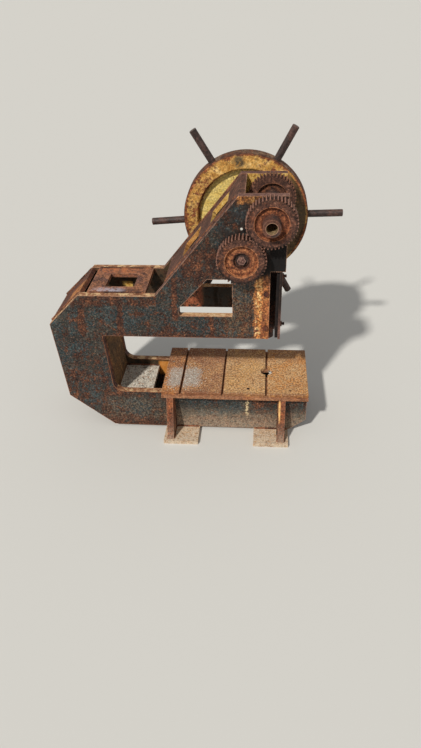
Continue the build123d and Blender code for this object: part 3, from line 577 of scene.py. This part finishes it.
def side_plate_material(name):
    """Slate paint worn through to rust, with runs of rust and remains of yellow."""
    s = Shade(name)
    x, y, z = s.axes()
    flat = s.span(s.calc("ABSOLUTE", s.axes(s.facing)[1]), 0.4, 0.6)
    grain = s.noise(40, 10, 0.80, 0.3)
    runs = s.noise(13, 9, 0.76, 0.2, (4.5, 4.5, 0.45))
    big = s.noise(6, 4, 0.6, 0.3)
    fine = s.noise(280, 5, 0.7)
    rusty, rust, colour = slate_and_rust(s, grain, runs, big, fine)
    colour = yellow_remains(s, colour, grain, runs, fine)
    for place, scale, low, share, tint in (
        (LOW_DUST, 70, 0.44, 0.45, LOW_DUST_TINT),
        (ARM_DUST, 80, 0.46, 0.40, ARM_DUST_TINT),
    ):
        dusty = s.both(s.area(*place, 0.030), s.span(s.noise(scale, 9, 0.8), low, low + 0.12))
        colour = s.mix(s.both(dusty, share), colour, tint)
    colour = s.grit(colour, 0.62)
    head = s.both(s.span(x, *BROWN_FROM_X), s.span(z, *BROWN_FROM_Z))
    head = s.both(head, s.span(s.noise(26, 8, 0.75), 0.42, 0.56))
    colour = s.mix(s.both(head, 0.72), colour, HEAD_BROWN)
    # Near-black beside the guide and under the lower gear: grease, and painted shade of the gears
    grease_and_shade = s.either(
        s.both(s.span(x, *GUIDE_SHADE_FROM_X), s.window(z, *GUIDE_SHADE_Z, 0.020)),
        s.both(s.spot(*GREASE_AND_SHADE_SPOT, 0.4), s.span(x, *GREASE_AND_SHADE_FROM_X)),
    )
    shade_and_grease = s.both(grease_and_shade, s.span(grain, 0.32, 0.40), 0.96)
    colour = s.mix(shade_and_grease, colour, GREASE_AND_SHADE)
    inner = s.both(s.span(s.calc("ABSOLUTE", y), PLATE_IN + 0.006, PLATE_IN + 0.002), flat)
    yellow = s.ramp(s.noise(80, 8, 0.78), *OCHRE)
    colour = s.mix(inner, colour, inside_colour(s, grain, rust, yellow))
    colour = s.mix(flat, cut_colour(s, big), colour)
    worn = s.both(s.edges(0.0050), s.span(s.noise(50, 8, 0.75), 0.38, 0.52), 0.85)
    colour = s.mix(worn, colour, s.mix(s.span(z, *EDGE_LIGHT_FROM_Z), ARRIS_LOW, ARRIS))
    # A painted shadow: the black spot beside the upper gear; next to it, a small white spot
    colour = s.mix(s.spot(*SHADE_SPOT_BEHIND_TEETH, 0.15), colour, SHADE_BLACK)
    colour = s.mix(s.spot(*WHITE_SPOT, 0.25), colour, SPOT_WHITE)
    colour = s.mix(s.span(x, *FLOOR_DUST_FROM_X), colour, dusting(s, colour, 0.46, 0.14))
    smooth = s.both(flat, s.span(rusty, 0.6, 0.4), s.span(shade_and_grease, 0.6, 0.4))
    rough = s.mix(smooth, (0.9, 0.9, 0.9, 1), (0.55, 0.55, 0.55, 1))
    pits = s.calc("MULTIPLY", rusty, -1.0)
    return s.finish(colour, rough, ((pits, 0.0004), (grain, 0.0012), (fine, 0.0006)))


def rusty_material(name, stops, tint=None, tint_share=0.5, tint_range=(0.48, 0.56), dust=0.0,
                   dust_height=0.2, worn=ARRIS, worn_share=0.6, rough=0.88, grit=0.35, masks=()):
    """Bare rusty steel, with a second tint in patches and lighter worn edges."""
    s = Shade(name)
    big = s.noise(9, 5, 0.6, 0.4)
    grain = s.noise(42, 10, 0.79, 0.4)
    fine = s.noise(280, 5, 0.7)
    colour = s.ramp(s.add((big, 0.25), (grain, 0.50), (fine, 0.25)), *stops)
    if tint:
        patches = s.span(s.add((s.noise(16, 9, 0.76, 0.4), 0.75), (fine, 0.25)), *tint_range)
        colour = s.mix(s.both(patches, tint_share), colour, tint)
    colour = s.grit(colour, grit)
    colour = s.mix(s.both(s.specks(260, 0.59, 0.66), 0.55), colour, stops[0][1])
    colour = s.mix(s.both(s.specks(300, 0.61, 0.67), 0.35), colour, stops[-1][1])
    for build in masks:
        share, other = build(s, grain, fine)
        colour = s.mix(share, colour, other)
    colour = s.mix(s.both(s.edges(0.004), s.span(grain, 0.38, 0.54), worn_share), colour, worn)
    if dust:
        colour = dusting(s, colour, dust, dust_height)
    return s.finish(colour, rough, ((grain, 0.0012), (fine, 0.0008)))


def wheel_material(name):
    """Ochre paint on the rim, lighter yellow on the web, rust where it chipped, and painted shade on the
    rim's right part.
    """
    s = Shade(name)
    x, _, z = s.axes()
    away = s.radius(SHAFT_LOW)
    big = s.noise(10, 6, 0.65, 0.5)
    grain = s.noise(40, 10, 0.79, 0.4)
    fine = s.noise(280, 5, 0.7)
    rim = s.span(away, *WHEEL_RIM)
    rust = s.ramp(s.add((s.noise(70, 9, 0.78, 0.4), 0.75), (fine, 0.25)), *ORANGE)
    level = s.add((big, 0.34), (grain, 0.42), (s.noise(140, 6, 0.8), 0.24))
    for mask, more in (
        (rim, 0.010),
        (s.span(away, *WHEEL_WEB), -0.014),
        (s.span(away, *WHEEL_EDGE), 0.070),
        (s.window(away, *WHEEL_STEP, 0.003), 0.025),
        (s.edges(0.008), 0.050),
        (s.both(rim, s.span(x, *WHEEL_RUST_FROM_X), s.span(z, *WHEEL_RUST_FROM_Z)), 0.030),
        (s.both(rim, s.span(x, *WHEEL_CHIPS_FROM_X)), 0.010),
        (s.both(rim, s.span(z, *WHEEL_SOUND_FROM_Z)), -0.012),
    ):
        level = s.plus(level, mask, more)
    chipped = s.span(level, 0.538, 0.566)
    paint = s.mix(rim, s.ramp(grain, *WEB_PAINT), s.ramp(grain, *RIM_PAINT))
    colour = s.mix(chipped, paint, rust)
    angle = radians(BURN_DEGREES)
    burn_centre = (SHAFT_LOW[0] + BURN_REACH * cos(angle), SHAFT_LOW[1] + BURN_REACH * sin(angle))
    burn = s.spot(burn_centre, BURN_SIZE, 0.5)
    colour = s.mix(s.both(burn, s.span(grain, 0.40, 0.50), 0.9), colour, BURNT)
    specks = s.both(s.specks(240, 0.59, 0.65), s.span(away, *WHEEL_SPECKS, 0.2, 0.6))
    colour = s.mix(specks, colour, SPECK_WHEEL)
    # Painted shade: the rim's right part is darkened, where the head's shadow falls
    right = s.both(rim, s.span(x, *WHEEL_SHADE_FROM_X))
    painted_shade = s.both(right, s.span(away, *WHEEL_SHADE_RADII), s.span(grain, 0.30, 0.42))
    colour = s.mix(s.both(painted_shade, 0.9), colour, RIM_SHADE)
    colour = s.grit(colour, 0.28)
    outside = s.span(away, *WHEEL_OUTSIDE)
    colour = s.mix(s.both(outside, 0.85), colour, s.ramp(s.noise(60, 9, 0.78), *RUST))
    colour = s.mix(s.span(away, *WHEEL_HUB), colour, s.ramp(grain, *ORANGE))
    rough = s.mix(chipped, (0.5, 0.5, 0.5, 1), (0.9, 0.9, 0.9, 1))
    pits = s.calc("MULTIPLY", chipped, -1.0)
    return s.finish(colour, rough, ((pits, 0.0004), (grain, 0.0006), (fine, 0.0004)))


def gear_material(name, centre, face=ORANGE, tips=rgb(156, 114, 98), gaps=0.6, painted_shade=0.8):
    """Purple-brown teeth, an orange recess whose lip is a painted highlight, dark grease round the hub,
    dirt and painted shade in the tooth gaps, and painted shade on the lower teeth.
    """
    s = Shade(name)
    away = s.radius(centre)
    grain = s.noise(70, 10, 0.79, 0.4)
    fine = s.noise(320, 5, 0.7)
    base = s.add((grain, 0.7), (fine, 0.3))
    recess = s.ramp(base, *face)
    bright = face[-1][1]
    patches = s.span(s.noise(34, 9, 0.76, 0.4), 0.52, 0.58)
    colour = s.mix(s.both(patches, 0.6), s.ramp(base, *TEETH), recess)
    colour = s.mix(s.span(away, *GEAR_RECESS), colour, recess)
    # The lip's brightness is a painted highlight on the recess's rim
    lip = s.window(away, *GEAR_LIP, 0.0010)
    colour = s.mix(s.both(lip, s.span(grain, 0.40, 0.50), 0.7), colour, bright)
    ring = s.window(away, *GEAR_RING, 0.002)
    colour = s.mix(s.both(ring, s.span(grain, 0.44, 0.52), 0.5), colour, bright)
    colour = s.mix(s.both(s.span(away, *GEAR_HUB), 0.8), colour, HUB_GREASE)
    colour = s.grit(colour, 0.42)
    # Dirt and painted shade in the gaps between the teeth
    colour = s.mix(s.both(s.window(away, *GEAR_ROOTS, 0.0010), gaps), colour, ROOT_DIRT_AND_SHADE)
    crests = s.both(s.span(away, *GEAR_CRESTS), s.span(grain, 0.36, 0.50), 0.7)
    colour = s.mix(crests, colour, tips)
    sharp = s.both(s.edges(0.0020), s.span(grain, 0.38, 0.50), 0.5)
    colour = s.mix(sharp, colour, TOOTH_EDGE)
    # Painted shade: the band and teeth below the shaft are darkened
    low = s.span(s.axes()[2], centre[1] - 0.005, centre[1] - 0.040)
    low_shade = s.both(low, s.span(away, *GEAR_BAND), s.span(grain, 0.62, 0.50), painted_shade)
    colour = s.mix(low_shade, colour, GEAR_SHADE)
    return s.finish(colour, 0.84, ((grain, 0.0010), (fine, 0.0007)))


# Masks for rusty_material: from the material, its grain and its fine grain to a share and a colour


def shaft_end(s, grain, fine):
    """A lighter rubbed rim round the bore at the upper shaft's end."""
    rim = s.window(s.radius(SHAFT_HIGH), *BORE_RIM, 0.0006)
    return s.both(rim, s.span(s.axes()[1], *SHAFT_FRONT_FROM_Y), 0.85), rgb(158, 122, 98)


def bore_light(s, grain, fine):
    """Olive-brown dust in the front of the upper shaft's bore, kept light as painted light on its inside.
    """
    inside = s.both(s.span(s.radius(SHAFT_HIGH), *BORE_WALL), s.span(s.axes()[1], *BORE_FRONT_FROM_Y))
    return s.both(inside, 0.85), s.ramp(s.noise(90, 8, 0.78), *BORE_DUST_AND_LIGHT)


def chamfer_light(s, grain, fine):
    """Orange and yellow remains on the front half of the plate at the upper left corner."""
    x, y, _ = s.axes()
    area = s.both(s.window(x, *CHAMFER_X, 0.012), s.span(y, *CHAMFER_FROM_Y))
    share = s.both(area, s.span(s.noise(50, 9, 0.78), 0.40, 0.50), 0.85)
    return share, s.ramp(s.noise(90, 8, 0.78), *YELLOW)


def hole_shade(s, grain, fine):
    """Painted shade inside the small hole near the table's front edge."""
    x, y, z = s.axes()
    near = s.span(s.distance(x, y, HOLE_MARK), *HOLE_EDGE)
    return s.both(near, s.span(z, *HOLE_SHADE_FROM_Z)), rgb(24, 13, 10)


def cement_material(name):
    """Dry cement, in greys and with a rough grain."""
    s = Shade(name)
    colour = s.ramp(s.noise(90, 8, 0.75), *STONE)
    return s.finish(colour, 0.95, ((s.noise(420, 5, 0.7), 0.0008),))


def table_dust(s, grain, fine):
    """Cement dust over the two left strips, thicker towards their middle."""
    x, y, _ = s.axes()
    area = s.both(s.window(x, *TABLE_DUST_X, 0.034), s.window(y, *TABLE_DUST_Y, 0.040), s.upward())
    cloud = s.add((area, 0.42), (s.noise(45, 8, 0.75, 0.3), 0.45), (s.noise(190, 5, 0.8), 0.75))
    return s.both(s.span(cloud, 0.90, 1.02), 0.85), s.ramp(s.noise(230, 6, 0.85), *TABLE_DUST)


def table_specks(s, grain, fine):
    """Grey specks of cement all over the table."""
    return s.both(s.upward(), s.specks(190, 0.56, 0.63), 0.60), rgb(206, 184, 152)


def table_back(s, grain, fine):
    """Darker rust at the back of the table."""
    y = s.axes()[1]
    return s.both(s.span(y, *TABLE_BACK_FROM_Y), s.span(grain, 0.44, 0.54), 0.75), rgb(122, 72, 46)


def table_front(s, grain, fine):
    """A brown run of rust along the front edge of the table."""
    y = s.axes()[1]
    return s.both(s.span(y, *TABLE_FRONT_FROM_Y), s.span(grain, 0.40, 0.52), 0.75), rgb(110, 64, 38)


def table_mark(s, grain, fine):
    """A drilled mark near the front right corner."""
    x, y, _ = s.axes()
    return s.span(s.distance(x, y, DRILL_MARK), *DRILL_EDGE), rgb(40, 24, 18)


def top_back(s, grain, fine):
    """Brighter rust along the back of the top plate."""
    x, y, _ = s.axes()
    area = s.both(s.span(y, *TOP_RUST_FROM_Y), s.span(x, *TOP_RUST_FROM_X))
    bright = s.both(area, s.span(s.noise(60, 8, 0.78), 0.44, 0.54))
    return s.both(bright, 0.75), rgb(188, 112, 66)


def white_front(s, grain, fine):
    """Chalky dust on the front left of the top plate."""
    x, y, _ = s.axes()
    area = s.both(s.window(x, *TOP_CHALK_X, 0.020), s.span(y, *TOP_CHALK_FROM_Y), s.upward())
    return s.both(area, s.span(s.noise(50, 9, 0.78), 0.42, 0.54), 0.75), rgb(176, 168, 178)


def hatch_walls(s, grain, fine):
    """Old yellow paint on the far and lower walls of the slanting plate's two hatches."""
    x, y, z = s.axes(s.facing)
    far = s.both(s.window(s.axes()[1], *HATCH_FAR_Y, 0.0004), s.span(y, -0.6, -0.9))
    lower = s.both(s.span(x, 0.50, 0.60), s.span(z, 0.70, 0.75))
    paint = s.ramp(s.noise(80, 8, 0.78), *OCHRE)
    orange = s.span(s.add((s.axes()[2], 1.0), (s.noise(60, 8, 0.78), 0.10)), *HATCH_ORANGE_FROM_Z)
    paint = s.mix(s.both(orange, 0.7), paint, s.ramp(s.noise(90, 8, 0.78), *YELLOW))
    return s.both(s.either(far, lower), s.span(grain, 0.38, 0.46)), paint


def gusset_light(s, grain, fine):
    """A painted highlight along the left edge of the right gussets, towards the table."""
    x, _, z = s.axes()
    edge = s.both(s.window(x, *GUSSET_LEFT_X, 0.0015), s.span(z, *GUSSET_LIGHT_FROM_Z))
    return s.both(edge, s.span(s.noise(60, 8, 0.78), 0.42, 0.50), 0.85), rgb(240, 188, 116)


def guide_grease_and_shade(s, grain, fine):
    """Black on the upper part of the head's end plate: grease, and painted shade."""
    return s.both(s.span(s.axes()[2], *END_PLATE_FROM_Z), s.span(grain, 0.30, 0.40), 0.94), rgb(14, 9, 8)


def floor_dust(s, grain, fine):
    """Pale gravelly dust on the arm's floor."""
    cloud = s.span(s.noise(70, 9, 0.8), 0.40, 0.50)
    return s.both(cloud, 0.9), s.ramp(s.noise(240, 6, 0.8), *GRAVEL)


def table_look(number, stops, tint, share, tint_range):
    """One strip's look: its own colours, with the marks that all four share."""
    marks = (table_back, table_front, table_specks, table_dust, table_mark, hole_shade)
    return rusty_material(f"table_rust_{number}", stops, tint, share, tint_range, grit=0.5, masks=marks)


SIDE = side_plate_material("side_plate_paint")
INCLINE_LOOK = rusty_material("slanting_plate_rust", TEETH, rgb(112, 66, 46), 0.6, (0.50, 0.57),
                              masks=(hatch_walls,))
CROSS = rusty_material("cross_plate_rust", PURPLE, rgb(118, 66, 44), 0.6, (0.49, 0.56), grit=0.45)
CHAMFER = rusty_material("chamfer_plate_rust", RED, rgb(64, 38, 32), 0.7, (0.47, 0.55), grit=0.5,
                         masks=(chamfer_light,))
TOP = rusty_material("top_plate_rust", PURPLE, rgb(148, 98, 68), 0.8, (0.46, 0.54), grit=0.5,
                     masks=(top_back, white_front))
INNER = rusty_material("throat_rust", INSIDE, rgb(62, 58, 42), 0.4, (0.50, 0.58), grit=0.5)
SHADED = rusty_material("arm_floor_rust", CLAY, masks=(floor_dust,), worn_share=0.3)
BASE = rusty_material("table_base_rust", CLAY, rgb(156, 98, 56), 0.6)
FEET = rusty_material("foot_rust", TAN, rgb(130, 88, 64), 0.6, (0.47, 0.56), dust=1.0, dust_height=0.10,
                      grit=0.5)
GUSSET = rusty_material("gusset_rust", ORANGE, rgb(96, 64, 50), 0.7, (0.45, 0.53), dust=0.35,
                        dust_height=0.10, grit=0.5, masks=(gusset_light,))
# The head's end plate: rust, with black grease and painted shade on its upper part
END_PLATE_GREASE_AND_SHADE = rusty_material("end_plate_rust", PURPLE, rgb(134, 90, 66), 0.6, (0.48, 0.56), worn_share=0.15,
                         masks=(guide_grease_and_shade,))
# The keepers and gib: near-black, partly grease and partly painted shade in the recess
SOOT_AND_SHADE = rusty_material("guide_grease_and_shade", SOOT_SHADE_TONES, worn=rgb(70, 50, 42), worn_share=0.3)
GUIDE_BOLT = rusty_material("guide_bolt_rust", RUST, rgb(100, 42, 28), 0.7, worn=rgb(130, 74, 50))
GUIDE = rusty_material("guide_rust", DARK, rgb(110, 62, 40), 0.6, (0.50, 0.58), worn=rgb(150, 104, 78))
ROD = rusty_material("rod_steel", DARK, rgb(92, 62, 52), 0.6, (0.48, 0.56), worn=rgb(150, 120, 104),
                     rough=0.55)
BRONZE = rusty_material("bush_bronze", OLIVE, rgb(120, 70, 40), 0.6)
SHAFT = rusty_material("shaft_rust", DARK, rgb(112, 68, 50), 0.6, worn=rgb(160, 118, 96),
                       masks=(bore_light, shaft_end))
BOLT = rusty_material("bolt_rust", PURPLE, rgb(150, 112, 96), 0.7, worn=rgb(196, 160, 142))
WELD = rusty_material("weld_rust", RUST, rgb(150, 94, 62), 0.7, worn=rgb(186, 136, 104))
WHEEL = wheel_material("wheel_paint")
CEMENT = cement_material("cement")

LOOKS = {
    "side_plate_front": SIDE,
    "side_plate_back": SIDE,
    "top_plate": TOP,
    "chamfer_plate": CHAMFER,
    "spine_plate": CROSS,
    "heel_plate": CROSS,
    "incline_plate": INCLINE_LOOK,
    "throat_plate": INNER,
    "arm_floor_plate": SHADED,
    "table_base": BASE,
    "table_strip_1": table_look(1, CLAY, rgb(192, 126, 66), 0.6, (0.47, 0.55)),
    "table_strip_2": table_look(2, CLAY, rgb(176, 128, 84), 0.8, (0.45, 0.55)),
    "table_strip_3": table_look(3, TAN, rgb(196, 146, 84), 0.5, (0.47, 0.56)),
    "table_strip_4": table_look(4, TAN, rgb(182, 120, 58), 0.7, (0.46, 0.55)),
    "head_end_plate": END_PLATE_GREASE_AND_SHADE,
    "keeper_front": SOOT_AND_SHADE,
    "keeper_back": SOOT_AND_SHADE,
    "gib": SOOT_AND_SHADE,
    "guide_bolts": GUIDE_BOLT,
    "wheel": WHEEL,
    "gear_lower_front": gear_material("gear_lower_front_rust", SHAFT_LOW, EMBER, painted_shade=0.95),
    "gear_lower_back": gear_material("gear_lower_back_rust", SHAFT_LOW, DARK),
    "gear_upper_front": gear_material("gear_upper_front_rust", SHAFT_HIGH, RED, painted_shade=0.35),
    "gear_upper_back": gear_material("gear_upper_back_rust", SHAFT_HIGH, RUST, rgb(132, 84, 56), 0.0),
    "upper_shaft": SHAFT,
    "lower_shaft": SHAFT,
    "bolt_front": BOLT,
    "bolt_rear": BOLT,
}
STARTS = (("foot", FEET), ("gusset", GUSSET), ("handle", ROD), ("bush", BRONZE))
for name, obj in nodes.items():
    look = LOOKS.get(name) or next((m for start, m in STARTS if name.startswith(start)), GUIDE)
    obj.data.materials.clear()
    obj.data.materials.append(look)


def add_piece(name, bm, look, body, smooth=True):
    """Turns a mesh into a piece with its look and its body."""
    mesh = bpy.data.meshes.new(name)
    bm.to_mesh(mesh)
    bm.free()
    for polygon in mesh.polygons:
        polygon.use_smooth = smooth
    mesh.materials.append(look)
    obj = bpy.data.objects.new(name, mesh)
    bpy.context.scene.collection.objects.link(obj)
    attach(obj, body)
    return obj


def bead(bm, start, end, radius, seed, ripple=0.0065, sides=9):
    """A weld bead from start to end: a rough tube with the ripples of a hand-laid weld."""
    start, end = Vector(start), Vector(end)
    ahead = end - start
    length = ahead.length
    ahead.normalize()
    side = ahead.cross(Vector((0, 0, 1)))
    if side.length < 0.1:
        side = ahead.cross(Vector((0, 1, 0)))
    side.normalize()
    up = side.cross(ahead)
    steps = max(6, int(length / ripple * 3))
    rings = []
    for i in range(steps + 1):
        t = length * i / steps
        # Each ripple swells over four fifths of its length, and then drops
        phase = (t / ripple) % 1.0
        grow = 0.86 + 0.22 * sqrt(phase) if phase < 0.8 else 1.05 - 0.9 * (phase - 0.8)
        wobble = noise.noise(Vector((t * 40, seed, 0.0)))
        r = radius * grow * (1 + 0.18 * wobble)
        if i in (0, steps):
            r *= 0.35
        centre = start + ahead * t + side * wobble * radius * 0.25
        ring = []
        for k in range(sides):
            a = 2 * pi * k / sides
            ring.append(bm.verts.new(centre + side * cos(a) * r + up * sin(a) * r))
        rings.append(ring)
    for a, b in zip(rings, rings[1:]):
        for k in range(sides):
            bm.faces.new((a[k], a[(k + 1) % sides], b[(k + 1) % sides], b[k]))
    bm.faces.new(rings[0][::-1])
    bm.faces.new(rings[-1])


def on_incline(distance, y):
    """A point on the frame's slanting edge, at a distance from its low end."""
    (x0, z0), (x1, z1) = INCLINE
    length = hypot(x1 - x0, z1 - z0)
    return (x0 + (x1 - x0) * distance / length, y, z0 + (z1 - z0) * distance / length)


def seams():
    """Start, end and radius of each weld that shows: cross plates, corners, gussets and feet."""
    runs = []
    for sign in (-1, 1):
        inside = sign * (PLATE_IN - SEAM_INSET)
        for (xa, za), (xb, zb), radius in CROSS_SEAMS:
            runs.append(((xa, inside, za), (xb, inside, zb), radius))
        runs.append((*(on_incline(distance, inside) for distance in INCLINE_SEAM), INCLINE_BEAD))
    for x, z in CORNER_SEAMS:
        runs.append(((x, -CORNER_SEAM_HALF, z), (x, CORNER_SEAM_HALF, z), CORNER_BEAD))
    for sign in (-1, 1):
        outer = sign * (PLATE_OUT + SEAM_OUTSET)
        near, far = (sign * y for y in GUSSET_SEAM_Y)
        for x in GUSSETS:
            for edge in (x - GUSSET_HALF, x + GUSSET_HALF):
                runs.append((*((edge, outer, z) for z in GUSSET_SEAM_Z), GUSSET_BEAD))
                runs.append(((edge, near, FOOT_SEAM_Z), (edge, far, FOOT_SEAM_Z), GUSSET_BEAD))
        for low, high in FOOT_SEAMS:
            runs.append(((low, outer, FOOT_SEAM_Z), (high, outer, FOOT_SEAM_Z), FOOT_BEAD))
    return runs


def welds():
    """All the weld beads, as one piece on the frame."""
    bm = bmesh.new()
    for number, (start, end, radius) in enumerate(seams()):
        bead(bm, start, end, radius, 1.0 + 7.3 * number)
    return add_piece("frame_welds", bm, WELD, "frame")


def stone(bm, rng, x, y, z, size):
    """One bit of cement, bumpy and flattened."""
    grown = bmesh.ops.create_icosphere(bm, subdivisions=1, radius=size)
    axis = Vector((rng.random(), rng.random(), rng.random() + 0.1)).normalized()
    turn = Matrix.Rotation(rng.uniform(0, pi), 3, axis)
    squash = Vector((rng.uniform(0.7, 1.3), rng.uniform(0.7, 1.3), rng.uniform(0.45, 0.8)))
    for v in grown["verts"]:
        p = turn @ (v.co * (1 + 0.35 * noise.noise(v.co / size * 1.3 + Vector((x, y, z)) * 90)))
        v.co = Vector((p.x * squash.x + x, p.y * squash.y + y, p.z * squash.z + z + size * 0.25))


def crumbs():
    """Bits of dry cement on the arm's floor, on the table's left strips and at the slug hole."""
    rng = random.Random(11)
    bm = bmesh.new()
    for _ in range(FLOOR_CRUMBS):
        x = rng.uniform(*FLOOR_X)
        y = rng.uniform(*FLOOR_Y)
        stone(bm, rng, x, y, ARM_FLOOR, rng.choice(FLOOR_SIZES))
    for _ in range(TABLE_CRUMBS):
        x = rng.gauss(HEAP[0], HEAP_SPREAD)
        y = rng.gauss(HEAP[1], HEAP_SPREAD)
        near_slot = abs(x - LEFT_SLOT_X) < LEFT_SLOT_HALF
        if HEAP_X[0] < x < HEAP_X[1] and abs(y) < TABLE_HALF and not near_slot:
            stone(bm, rng, x, y, TABLE_TOP, rng.choice(TABLE_SIZES))
    for _ in range(HOLE_CRUMBS):
        turn = rng.uniform(-1.0, 1.0)
        reach = rng.uniform(*HOLE_RING)
        height = rng.uniform(*HOLE_RING_Z)
        stone(bm, rng, reach * cos(turn), reach * sin(turn), height, rng.choice(HOLE_SIZES))
    return add_piece("cement_crumbs", bm, CEMENT, "frame", smooth=False)


welds()
crumbs()


def plain(name, colour, rough):
    """A material of one colour, for the floor."""
    material = bpy.data.materials.new(name)
    material.use_nodes = True
    bsdf = material.node_tree.nodes["Principled BSDF"]
    bsdf.inputs["Base Color"].default_value = colour
    bsdf.inputs["Roughness"].default_value = rough
    bsdf.inputs["Specular IOR Level"].default_value = 0.1
    return material


def floor(reach=60.0):
    """A plain pale floor, out to reach in metres."""
    mesh = bpy.data.meshes.new("floor")
    corners = [(-reach, -reach, 0), (reach, -reach, 0), (reach, reach, 0), (-reach, reach, 0)]
    mesh.from_pydata(corners, [], [(0, 1, 2, 3)])
    mesh.materials.append(plain("floor", rgb(206, 204, 198), 0.9))
    obj = bpy.data.objects.new("floor", mesh)
    bpy.context.scene.collection.objects.link(obj)


def sky(strength, backdrop=rgb(211, 208, 200)):
    """Soft light from all sides; what the camera, gloss and glass see of it is as pale as the floor."""
    world = bpy.data.worlds.new("studio")
    bpy.context.scene.world = world
    world.use_nodes = True
    tree = world.node_tree
    background = tree.nodes["Background"]
    background.inputs[0].default_value = (0.97, 0.98, 1.0, 1)
    background.inputs[1].default_value = strength
    seen = tree.nodes.new("ShaderNodeBackground")
    seen.inputs[0].default_value = backdrop
    path = tree.nodes.new("ShaderNodeLightPath")
    direct = path.outputs["Is Camera Ray"]
    for other in ("Is Glossy Ray", "Is Transmission Ray"):
        either = tree.nodes.new("ShaderNodeMath")
        either.operation = "MAXIMUM"
        tree.links.new(direct, either.inputs[0])
        tree.links.new(path.outputs[other], either.inputs[1])
        direct = either.outputs[0]
    pick = tree.nodes.new("ShaderNodeMixShader")
    tree.links.new(direct, pick.inputs[0])
    tree.links.new(background.outputs[0], pick.inputs[1])
    tree.links.new(seen.outputs[0], pick.inputs[2])
    tree.links.new(pick.outputs[0], tree.nodes["World Output"].inputs[0])


def sun(name, direction, strength, spread, colour=(1, 1, 1)):
    """A lamp whose light travels along direction."""
    data = bpy.data.lights.new(name, "SUN")
    data.energy = strength
    data.angle = radians(spread)
    data.color = colour
    lamp = bpy.data.objects.new(name, data)
    lamp.rotation_mode = "QUATERNION"
    lamp.rotation_quaternion = Vector(direction).to_track_quat("-Z", "Y")
    bpy.context.scene.collection.objects.link(lamp)


def camera(place, pitch, roll, yaw, focal_px, height_px=748, sensor=36.0):
    """The photo's camera: angles in degrees, down, clockwise and to the left."""
    pitch, roll, yaw = radians(pitch), radians(roll), radians(yaw)
    ahead = Vector((-sin(yaw) * cos(pitch), cos(yaw) * cos(pitch), -sin(pitch)))
    right = Vector((cos(yaw), sin(yaw), 0))
    up = right.cross(ahead)
    right_rolled = cos(roll) * right + sin(roll) * up
    up_rolled = -sin(roll) * right + cos(roll) * up
    data = bpy.data.cameras.new("camera")
    data.sensor_width = sensor
    data.lens = sensor * focal_px / height_px
    data.clip_end = 200.0
    obj = bpy.data.objects.new("camera", data)
    turn = Matrix((right_rolled, up_rolled, -ahead)).transposed()
    obj.matrix_world = Matrix.Translation(place) @ turn.to_4x4()
    bpy.context.scene.collection.objects.link(obj)
    bpy.context.scene.camera = obj


floor()
sky(strength=0.38)
sun("key", direction=(0.37, 0.70, -0.76), strength=3.1, spread=3, colour=(1.0, 0.98, 0.94))
sun("fill", direction=(-0.6, 0.5, -0.4), strength=0.15, spread=60)
camera(CAMERA_PLACE, *CAMERA_ANGLES, FOCAL_PX)
bpy.context.scene.view_settings.view_transform = "Standard"
